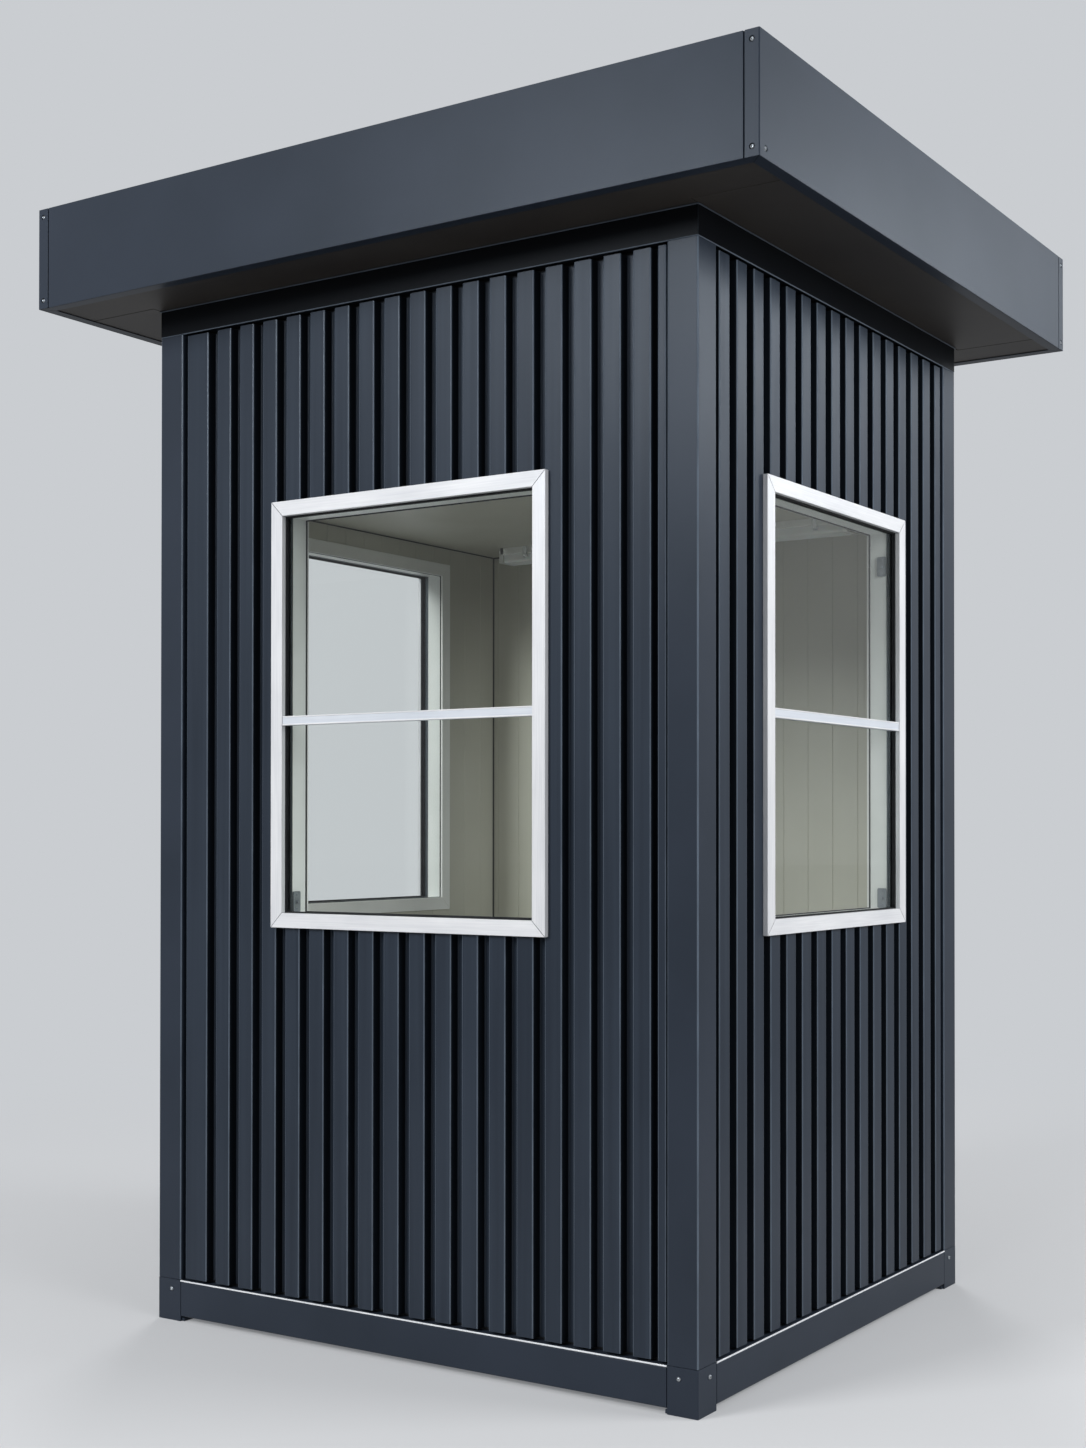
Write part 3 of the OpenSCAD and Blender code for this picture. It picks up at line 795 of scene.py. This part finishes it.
# ---- Glazing seals ----
# Black EPDM rubber wedges on both sides of the glass and a seal at the back of the frame, dead
# matt, with a slight lip that stands into the opening.
rubber = coat("black EPDM rubber", "#101113", "#1a1b1d", 20, 0.72, detail=2)
for side, _, low, high in each(WINDOWS, "window_glass"):
    t0, t1 = low[1] - SEAT / 2, high[1] + SEAT / 2
    rear = ROOM_T - 2.8
    for label, section in (
            ("outer", [(-1, 4.4), (2.0, 4.4), (3.2, 6.0), (2.4, 8.5), (3.4, t0), (-1, t0)]),
            ("inner", [(0, t1), (3.0, t1), (2.2, t1 + 2.9), (0, t1 + 3.3)]),
            ("rear", [(-2.8, rear), (1.0, rear), (1.4, ROOM_T - 0.4), (-2.8, ROOM_T - SEAT)])):
        bar_frame(f"seal_{label}_{NAMES[side]}", side, *clear[side], section, rubber, rubber, None,
                  joint=0.05)

# ---- Glass ----
# Clear float glass, 6 mm, with a trace of green in its thickness and an anti-glare coat that
# keeps its reflections low. Lamps shine through it.
glass, tree, shader = new_finish("clear float glass", Base_Color=linear("#fbfdfc"), Roughness=0.0,
                                 Transmission_Weight=1.0, IOR=1.25)
path = add_node(tree, "LightPath").outputs
lamp_ray = math_node(tree, "MAXIMUM", path["Is Shadow Ray"], path["Is Diffuse Ray"])
through = add_node(tree, "BsdfTransparent", {"Color": linear("#f4f7f6")})
both = add_node(tree, "MixShader", {0: lamp_ray, 1: shader.outputs[0], 2: through.outputs[0]})
tree.links.new(both.outputs[0], tree.nodes["Material Output"].inputs["Surface"])
for side, node, low, high in each(WINDOWS, "window_glass"):
    us, zs = rect(low, high, -1)
    block(bm, side, us, (low[1] + SEAT / 2, high[1] - SEAT / 2), zs)
    finish(bm, "pane_" + NAMES[side], glass, "glass", node, edge=0.5)

# ---- Transom bars ----
# A flat bar of brushed aluminium across the front and right windows between the trims' inner
# edges, with raised rims that catch the light above and below its face.
TRANSOM_T = (-6.0, 12.0)
RIM = 2.6
RIM_PROUD = 0.9
transom_face = brushed("brushed aluminium, transom faces", "#c6cdd6", "#d8dde4", 0.36, (50, 50, 1),
                       metallic=0.1)
low, high = span("window_transoms")
z0, z1 = low.z, high.z
t0, t1 = TRANSOM_T[0], TRANSOM_T[1] - SEAT
sunk = t0 + RIM_PROUD
section = rounded([(t1, z0, 0), (t0, z0, 1.0), (t0, z0 + RIM, 0.5), (sunk, z0 + RIM + 1, 0.5),
                   (sunk, z1 - RIM - 1, 0.5), (t0, z1 - RIM, 0.5), (t0, z1, 1.0), (t1, z1, 0)])
for side in (FRONT, RIGHT):
    us, _ = clear[side]
    bar(bm, side, section, (us[0] + 2 * SEAT, us[1] - 2 * SEAT))
piece = finish(bm, "transom_bars", transom_face, "bright_aluminium", "window_transoms")
recoat(piece, brushed_level,
       lambda face: min(depth_of(side, face) for side in (FRONT, RIGHT)) < sunk - SEAT / 2)

# ---- Casings ----
# White coated aluminium strips that close the joint between frame and panel indoors.
CASING_W = 36.0
CASING_T = 6.0
casing_white = coat("white coated aluminium", "#ecedeb", "#f6f6f4", 150, 0.40, peel=(6.0, 1, 0.03))
t0, t1 = ROOM_T + SEAT, ROOM_T + CASING_T
section = rounded([(0, t0, 0), (0, t1, 1.5), (CASING_W, t1, 1.5), (CASING_W, t0, 0)])
for side, _, low, high in each(WINDOWS, "window_frame"):
    us, zs = rect(low, high, CASING_W - FRAME_W)
    nodes = ("window_casings",) if side == FRONT else ()
    bar_frame("casing_" + NAMES[side], side, us, zs, section, casing_white, casing_white, "white_panel",
              *nodes, edge=0.5, joint=2 * SEAT)

# ---- Catches ----
# Pressed nickel-plated plates on the reveals, each with a round keeper between two countersunk
# screws. The front window has one on each jamb, the right one has two on its rear jamb.
CATCH_W = 24.0
CATCH_H = 50.0
CATCH_T = 3.0
CATCH_IN = 32.0          # depth at which the plates start
CATCH_DROP = 57.0        # from the head of the opening to the upper ones
CATCH_SCREW = 8.0        # from a plate's end to its screw
KEEPER = [(-SEAT, 4.8), (1.6, 4.8), (2.0, 3.6), (4.6, 3.6), (5.2, 4.6), (5.8, 4.4), (6, 3.2)]
SUNK = [(-SEAT, 3.4), (0.9, 3.2), (1.3, 1.4), (0.4, 1.2)]      # a countersunk screw
nickel = coat("nickel plate", "#878e95", "#9ba2a8", 40, 0.28, detail=2, Metallic=0.5)


def knob(bm, side, u, way, t, z, profile):
    """A turned knob on a jamb that faces way, with a (height, radius) profile."""
    run(bm, *([on_side(side, u + way * height, t + radius * c, z + radius * s) for c, s in circle(20)]
              for height, radius in profile))


for side in (FRONT, RIGHT):
    us, (foot, head) = clear[side]
    upper = head - CATCH_DROP - CATCH_H
    for end, z in [(0, foot), (1, foot)] if side == FRONT else [(1, foot), (1, upper)]:
        way = -1 if end else 1
        plate = oblong((CATCH_IN, z + JOINT), (CATCH_IN + CATCH_W, z + CATCH_H), 4)
        bar(bm, side, plate, [us[end] + way * off for off in (SEAT / 2, CATCH_T)])
        for rise, profile in ((CATCH_H / 2, KEEPER), (CATCH_SCREW, SUNK), (CATCH_H - CATCH_SCREW, SUNK)):
            knob(bm, side, us[end] + way * CATCH_T, way, CATCH_IN + CATCH_W / 2, z + rise, profile)
finish(bm, "catches", nickel, "galvanised_steel", "window_catches", edge=0.4)

# ---- Ring beam ----
# A folded channel on top of the posts, mitred at the corners with a hairline. Its bends take the
# paler coat as painted highlight lines, and its coat is nearly black as painted shade under the
# overhang.
RING_T = 3.0
RING_BEND = 2.8
RING_JOINT = 0.6
# Nearly black: painted shade, as if the overhang's shadow lay on the whole beam.
ring_shade_coat = coat("near-black coat, painted shade under the roof", "#07090d", "#0b0e12", 260, 0.42, peel=PEEL,
                  Specular_IOR_Level=0.1)
low, high = span("ring_beam")
section = channel(ROOM_T, low.z, high.z, RING_T, RING_BEND, 0)
for side in SIDES:
    half = side_half(side) - RING_JOINT
    run(bm, *([on_side(side, way * (half - t), t, z) for t, z in section] for way in (-1, 1)))
piece = finish(bm, "ring_channel", ring_shade_coat, "coated_steel", "ring_beam", edge=0.4)
recoat(piece, bend_highlight_coat, off_axis)

# ---- Fascias ----
# Deep folded steel boards around the roof. The side boards turn the front corners with a
# strip that is screwed over a cleat, and the back board turns both back corners.
FASCIA_T = 3.0
FASCIA_BEND = 2.6
WRAP = 33.0
WRAP_GAP = 3.0
FASCIA_LIP = 30.0
LIP_T = 2.0
EASE = 1.2
CLEAT = 58.0
CLEAT_T = 2.0
FASCIA_BACK = FASCIA_T + SEAT
ROOF_W = span("right_fascia")[1].x
ROOF_D = span("back_fascia")[1].y
ROOF_FOOT, ROOF_TOP = (corner.z for corner in span("back_fascia"))


def roof_half(side):
    """Half the length of a roof side."""
    return ROOF_D if side % 2 else ROOF_W


def on_roof(side, u, t, z):
    """A point of a roof side: u along it, t inwards from the fascia's face."""
    return on_side(side, u, t + reach(side) - roof_half(side + 1), z)


def fascia_plan(half, wraps):
    """The board from above: its face, and a return at each end that turns a corner."""
    t = FASCIA_T
    short = half - WRAP - WRAP_GAP
    left = [(-short, t, 0), (-short, 0, 0.8)]
    right = [(short, 0, 0.8), (short, t, 0)]
    if wraps[0]:
        left = [(t - half, t, 0.6), (t - half, WRAP, 0), (-half, WRAP, 0.8), (-half, 0, FASCIA_BEND)]
    if wraps[1]:
        right = [(half, 0, FASCIA_BEND), (half, WRAP, 0.8), (half - t, WRAP, 0), (half - t, t, 0.6)]
    return rounded(left + right)


WRAPS = {FRONT: (False, False), RIGHT: (True, False), BACK: (True, True), LEFT: (False, True)}
for side in SIDES:
    half = roof_half(side)
    near, deep = half - FASCIA_BACK - JOINT, half - FASCIA_LIP - JOINT
    lip = [(-near, FASCIA_BACK), (near, FASCIA_BACK), (deep, FASCIA_LIP), (-deep, FASCIA_LIP)]
    for outline, zs in ((fascia_plan(half, WRAPS[side]), (ROOF_FOOT, ROOF_TOP)),
                        (lip, (ROOF_FOOT + SEAT / 2, ROOF_FOOT + LIP_T)),
                        (lip, (ROOF_TOP - LIP_T, ROOF_TOP - SEAT / 2))):
        run(bm, *([on_roof(side, u, t, z) for u, t in outline] for z in zs))
    node = NAMES[side] + "_fascia"
    finish(bm, "fascia_board_" + NAMES[side], coated_steel, "coated_steel", node, edge=EASE)
inner = FASCIA_BACK + CLEAT_T
cleat = [(FASCIA_BACK, FASCIA_BACK), (CLEAT, FASCIA_BACK), (CLEAT, inner), (inner, inner), (inner, CLEAT),
         (FASCIA_BACK, CLEAT)]
for corner in corners(ROOF_W, ROOF_D):
    column(bm, corner, cleat, (ROOF_FOOT + LIP_T + JOINT, ROOF_TOP - LIP_T - JOINT))
finish(bm, "fascia_cleats", coated_steel, "coated_steel", edge=0.4)

# ---- Fascia screws ----
# The same button heads, sunk in clearance holes down to the cleats: two in each corner strip,
# and one low on each side board near its front corner.
STRIP_SCREW_IN = 17.0
STRIP_SCREW_Z = 20.0
FACE_SCREW_IN = 25.0
HOLE_R = 6.3


def drill(piece, places):
    """Cuts round clearance holes through a roof board at (side, u, z) places."""
    bm = bmesh.new()
    for side, u, z in places:
        run(bm, *([on_roof(side, u + HOLE_R * c, t, z + HOLE_R * s) for c, s in circle(24)]
                  for t in (-5, FASCIA_T + SEAT / 2)))
    bmesh.ops.scale(bm, vec=(MM, MM, MM), verts=bm.verts)
    bit = passing(bm)
    cut_out(piece, bit)
    piece.modifiers.move(len(piece.modifiers) - 1, 1)
    bpy.context.view_layer.update()
    drilled = bpy.data.meshes.new_from_object(piece.evaluated_get(bpy.context.evaluated_depsgraph_get()))
    piece.modifiers.clear()
    piece.data = drilled
    discard(bit)


holes = {side: [] for side in SIDES}      # by the board that each screw goes through
low_z, high_z = ROOF_FOOT + STRIP_SCREW_Z, ROOF_TOP - STRIP_SCREW_Z
for side in SIDES:
    for end, way in enumerate((-1, 1)):
        board = (side + way) % 4
        if WRAPS[board][1 - end]:
            holes[board] += [(side, way * (roof_half(side) - STRIP_SCREW_IN), z) for z in (low_z, high_z)]
holes[RIGHT].append((RIGHT, FACE_SCREW_IN - ROOF_D, low_z))
holes[LEFT].append((LEFT, ROOF_D - FACE_SCREW_IN, low_z))
for board, places in holes.items():
    if places:
        drill(bpy.data.objects["fascia_board_" + NAMES[board]], places)
    for side, u, z in places:
        screw_head(bm, side, u, reach(side) - roof_half(side + 1) + SCREW_H, z)
finish(bm, "fascia_screws", zinc, "galvanised_steel")

# ---- Soffit ----
# Warm grey coated boards under the overhang, darker than such boards are as painted shade: a long
# one at the front and back, which runs over the wall, and one at each end between narrow open
# joints. A thin bead closes the joint with the ring beam in the paler coat, a painted highlight
# that shows as a fine light line.
SEAM_OUT = 28.0          # from the walls' faces to the joints
SEAM = 2.4
BEAD_OUT = 3.0
# Darker than the board is: painted shade under the overhang.
soffit_board = coat("warm grey board darkened as painted shade", "#312d2a", "#3c3834", 300, 0.5, peel=(5.0, 2, 0.05),
                    Specular_IOR_Level=0.35)
low, high = span("soffit_panels")
end_x, end_y = high.x - FREE, high.y - FREE
wall_x, seam_y = HALF_W - SEAM, HALF_D + SEAM_OUT
inner_x, inner_y = HALF_W - ROOM_T, HALF_D - ROOM_T
long_board = [(-end_x, end_y), (end_x, end_y), (end_x, seam_y), (wall_x, seam_y), (wall_x, inner_y),
              (-wall_x, inner_y), (-wall_x, seam_y), (-end_x, seam_y)]
short_y, back_y = seam_y - SEAM, inner_y - SEAM
end_board = [(end_x, -short_y), (end_x, short_y), (HALF_W, short_y), (HALF_W, back_y), (inner_x, back_y),
             (inner_x, -back_y), (HALF_W, -back_y), (HALF_W, -short_y)]
for way in (-1, 1):
    slab(bm, [(x, way * y) for x, y in long_board], (low.z + FREE, high.z))
    slab(bm, [(way * x, y) for x, y in end_board], (low.z + FREE, high.z))
finish(bm, "soffit_boards", soffit_board, "soffit_board", "soffit_panels", edge=0.8)
# The bead's paler coat: a painted highlight line.
for side in SIDES:
    end = side_half(side) + (0 if side % 2 else BEAD_OUT)
    block(bm, side, (-end, end), (-BEAD_OUT, -FREE), (low.z - BEAD_OUT, low.z - FREE))
finish(bm, "soffit_bead", bend_highlight_coat, "coated_steel", edge=0.8)

# ---- Roof deck ----
# Coated steel roof sheet with folded standing seams, sunk behind the fascia, with an upstand
# flashing round its edge.
SEAM_PITCH = 335.0
SEAM_H = 22.0
SEAM_W = 3.0
FLASHING = 26.0
roof_sheet = coat("dark coated roof sheet", "#262b31", "#343b43", 320, (160, 4, 0.38, 0.55), detail=4,
                  peel=PEEL)


def beam(bm, section, xs):
    """A straight bar of that (y, z) section between two values of x."""
    run(bm, *([(x, y, z) for y, z in section] for x in xs))


low, high = span("roof_deck")
outline = [(low.y + 1, low.z), (high.y - 1, low.z), (high.y - 1, high.z)]
count = int(high.y / SEAM_PITCH)
for k in range(count, -count - 1, -1):
    y = k * SEAM_PITCH
    fold = [(SEAM_W / 2 + 1, high.z), (SEAM_W / 2, high.z + 1), (SEAM_W / 2, high.z + SEAM_H)]
    outline += [(y + out, z) for out, z in fold] + [(y - out, z) for out, z in fold[::-1]]
outline.append((low.y + 1, high.z))
beam(bm, outline, (low.x + 1, high.x - 1))
finish(bm, "roof_sheet", roof_sheet, "dark_steel", "roof_deck", edge=0.8)
near, far = FASCIA_T + 2 * SEAT, FASCIA_T + FLASHING
flashing = [(near, high.z + SEAT), (far, high.z + SEAT), (far, high.z + 1.4), (FASCIA_T + 6, high.z + 3),
            (FASCIA_T + 2, high.z + 8), (FASCIA_T + 2, ROOF_TOP - 3), (near, ROOF_TOP - 3)]
for side in SIDES:
    run(bm, *([on_roof(side, way * (roof_half(side) - t), t, z) for t, z in flashing] for way in (-1, 1)))
finish(bm, "roof_flashing", roof_sheet, "dark_steel", edge=0.4)

# ---- Ceiling ----
# The same off-white coated panel, laid between the walls with a thin open joint around it. A
# bead of grey sealant runs under its edge and down the corners of the room.
CEILING_JOINT = 1.5
BEAD = 3.5
low, high = span("ceiling_panel")
x, y = high.x - CEILING_JOINT, high.y - CEILING_JOINT
slab(bm, oblong((-x, -y), (x, y)), (low.z, high.z))
finish(bm, "ceiling_board", panel_skin, "white_panel", "ceiling_panel", edge=0.8)
sealant = coat("grey sealant", "#2d2d29", "#393934", 30, 0.6, detail=2)
ts = (ROOM_T + FREE, ROOM_T + BEAD)
for side in SIDES:
    half = side_half(side) - ROOM_T - FREE
    end = half - (BEAD if side % 2 else 0)
    block(bm, side, (-end, end), ts, (low.z - BEAD, low.z - FREE))
    block(bm, side, (half - BEAD, half), ts, (floor_z + COVE + 3, low.z - BEAD - SEAT))
finish(bm, "sealant_beads", sealant, None)

# ---- Ceiling light ----
# A slim batten: white enamelled tray with moulded end caps, a ribbed opal cover and two
# bright spring clips that hold the cover.
CAP_L = 14.0
COVER_R = 10.0
RIBS = 18
RIB_H = 0.7
CLIP_IN = 95.0
CLIP_W = 14.0
enamel = coat("white enamelled sheet", "#e2e2df", "#efefec", 200, (80, 2, 0.22, 0.34), detail=2)
opal = coat("opal acrylic", "#e1e3e1", "#eeefee", 120, 0.30, detail=2, Subsurface_Weight=0.15,
            Subsurface_Scale=0.004)
chrome = coat("bright chromed wire", "#dde0e3", "#eceef0", 40, 0.2, detail=2, Metallic=0.5)
low, high = span("ceiling_light")
cover_low, cover_high = span("light_diffuser")


def tray(low, high, foot, radius):
    """The (y, z) section of a tray under the ceiling, down to its foot."""
    return rounded([(low.y, high.z, 0), (low.y, foot, radius), (high.y, foot, radius), (high.y, high.z, 0)])


beam(bm, tray(low, high, low.z, 2), (low.x + 4, high.x - 4))
for xs in ((low.x, low.x + CAP_L), (high.x - CAP_L, high.x)):
    beam(bm, tray(low, high, cover_low.z + 1, 3), xs)
finish(bm, "batten_tray", enamel, "white_enamel", "ceiling_light", edge=0.8)
cover = tray(cover_low, cover_high, cover_low.z, COVER_R)
flat = cover_low.y + COVER_R + 1
step = (cover_high.y - COVER_R - 1 - flat) / (2 * RIBS)
ridges = [(flat + k * step, cover_low.z + (RIB_H if k % 2 else 0)) for k in range(1, 2 * RIBS)]
half = len(cover) // 2
beam(bm, cover[:half] + ridges + cover[half:], (cover_low.x + 11, cover_high.x - 11))
finish(bm, "opal_cover", opal, "light_diffuser", "light_diffuser")
middle = (low.y + high.y) / 2
y, z = low.y, low.z
clip = [(y - 2.5, high.z - 1), (y - 2.5, z - 6), (y + 6, z - 12), (y + 6, z - 14), (y - 4.5, z - 7),
        (y - 4.5, high.z - 1)]
for x in (low.x + CLIP_IN, high.x - CLIP_IN):
    for flip in (1, -1):
        beam(bm, [(middle + flip * (y - middle), z) for y, z in clip], (x - CLIP_W / 2, x + CLIP_W / 2))
finish(bm, "spring_clips", chrome, "galvanised_steel", edge=0.5)

# ---- Door ----
# A flush insulated steel leaf in a folded steel frame whose flange laps over the ribs, with a
# black seal in the gap, a bright threshold and a weather bar at its foot.
FLANGE_T = 4.0
JAMB = FLANGE + 35.0     # from the frame's outer edge to the doorway
STOP = 12.0
SILL_DROP = 3.0          # from the leaf's foot to the threshold
SILL_FACE = FLANGE_T - 2 * SEAT
WEATHER_Z = 12.0         # from the leaf's foot to the weather bar
dark_steel = coat("dark coated steel", "#272d33", "#31383f", 240, (80, 3, 0.34, 0.43), peel=PEEL)
low, high = side_span("door_frame", BACK)
leaf_low, leaf_high = side_span("door_leaf", BACK)
leaf_t = leaf_high[1] - leaf_low[1]
sill_z = leaf_low[2] - SILL_DROP
section = rounded([(0, FLANGE_T - SEAT, 0), (0, -FLANGE_T, 2.0), (JAMB, -FLANGE_T, 2.0), (JAMB, leaf_t, 0.8),
                   (JAMB + STOP, leaf_t, 1.2), (JAMB + STOP, ROOM_T, 1.2), (FLANGE + SEAT, ROOM_T, 0),
                   (FLANGE + SEAT, FLANGE_T - SEAT, 0)])
ends = ((low[0], 1), (high[0], -1))
for u, way in ends:
    run(bm, [on_side(BACK, u + way * d, t, low[2] if t < FLANGE_T else floor_z + SEAT) for d, t in section],
        [on_side(BACK, u + way * d, t, high[2] - d - FREE) for d, t in section])
run(bm, *([on_side(BACK, u + way * (d + FREE), t, high[2] - d) for d, t in section] for u, way in ends))
finish(bm, "door_jambs", dark_steel, "dark_steel", "door_frame", edge=0.5)
us = (low[0] + JAMB + FREE, high[0] - JAMB - FREE)
sill = rounded([(SILL_FACE, floor_z + FREE, 0), (-SILL_FACE, floor_z + FREE, 0), (-SILL_FACE, sill_z - 6, 2),
                (10, sill_z, 2), (ROOM_T, sill_z, 3), (ROOM_T, floor_z + FREE, 0)])
bar(bm, BACK, sill, us)
block(bm, BACK, us, (-SILL_FACE, SILL_FACE), (low[2], floor_z))
finish(bm, "threshold", brushed_level, "bright_aluminium", edge=0.5)
us, zs = rect(leaf_low, leaf_high)
block(bm, BACK, us, (FREE, leaf_t - 1.2), zs)
finish(bm, "door_skin", coated_steel, "coated_steel", "door_leaf", edge=2.0)
foot = leaf_low[2] + WEATHER_Z
weather = rounded([(SEAT, foot, 0), (-9, foot, 1), (-9, foot + 6, 2), (-2, foot + 36, 1),
                   (SEAT, foot + 38, 0)])
bar(bm, BACK, weather, (us[0] + 14, us[1] - 14))
finish(bm, "weather_bar", brushed_level, "bright_aluminium", edge=0.5)
bar_frame("door_seal", BACK, (low[0] + JAMB, high[0] - JAMB), (zs[0] - SILL_DROP, zs[1] + SILL_DROP),
          [(SEAT, 14), (2.8, 15), (2.8, 24), (SEAT, 26)], rubber, rubber, None, joint=0.05)

# ---- Door furniture ----
# Satin stainless lever handles on long plates with a key cylinder, and three zinc-plated
# lift-off hinges with turned barrels.
PLATE_W = 40.0
PLATE_H = 210.0
HANDLE_T = 4.0
HANDLE_IN = 20.0         # from the node's edge to the lever's axis
LEVER_R = 9.0
LEVER_L = 125.0
STEM = 46.0
STEM_BEND = 12.0
KEY_DROP = 72.0
BARREL_R = 7.8
KNUCKLES = ((0, 32), (33, 67), (68, 100))
HINGE_H = 100.0
satin, tree, shader = new_finish("satin stainless steel", Base_Color=linear("#b4b6b6"), Metallic=1.0)
gloss(tree, shader, grain(tree, 2.5, 2, (1, 1, 30)), 0.24, 0.38)


def tube(bm, points, radius, turns=16):
    """A rod of that radius through (u, t, z) points of the back side."""
    points = [on_side(BACK, *p) for p in points]
    rings = []
    for k, point in enumerate(points):
        ahead = (points[min(k + 1, len(points) - 1)] - points[max(k - 1, 0)]).normalized()
        across = ahead.cross(Vector((0, 0, 1)) if abs(ahead.z) < 0.9 else Vector((1, 0, 0))).normalized()
        up = across.cross(ahead)
        rings.append([point + radius * (c * across + s * up) for c, s in circle(turns)])
    run(bm, *rings)


low, high = side_span("door_handle", BACK)
u, z = low[0] + HANDLE_IN, (low[2] + high[2]) / 2
plate = oblong((u - PLATE_W / 2, z - PLATE_H / 2), (u + PLATE_W / 2, z + PLATE_H / 2), 8)
lever = [(0, 2), (0, STEM - STEM_BEND)]
lever += [(STEM_BEND * (1 - math.cos(a)), STEM - STEM_BEND * (1 - math.sin(a)))
          for a in (math.pi / 10 * k for k in range(1, 6))]
lever += [(LEVER_L * share, STEM) for share in (0.3, 0.6, 0.9)]
lever += [(LEVER_L + 4, STEM), (LEVER_L + 7, STEM - 1)]
for way, face in ((-1, 0.0), (1, leaf_t)):
    run(bm, *([on_side(BACK, a, face + way * off, b) for a, b in plate] for off in (SEAT / 2, HANDLE_T)))
    tube(bm, [(u + a, face + way * b, z) for a, b in lever], LEVER_R)
    tube(bm, [(u, face + way * b, z) for b in (3, 9)], 13)
    tube(bm, [(u, face + way * b, z - KEY_DROP) for b in (2, 7)], 8.5)
finish(bm, "lever_handles", satin, "galvanised_steel", "door_handle", edge=0.8)
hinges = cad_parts["door_hinges"].data
heights = sorted({round(v.co.z / MM, 1) for v in hinges.vertices})
u = leaf_high[0] + 1.5
for z in heights[::2]:
    for foot, top in KNUCKLES:
        tube(bm, [(u, -12, z + rise) for rise in (foot, foot + 0.1, top - 0.1, top)], BARREL_R, turns=20)
    for u0, u1, t0, t1 in ((-28, -1, -3, 0.1), (-3, -0.5, -12, -SEAT), (1, 28, -7, -4.1)):
        block(bm, BACK, (u + u0, u + u1), (t0, t1), (z, z + HINGE_H))
finish(bm, "hinges", zinc, "galvanised_steel", "door_hinges", edge=0.6)
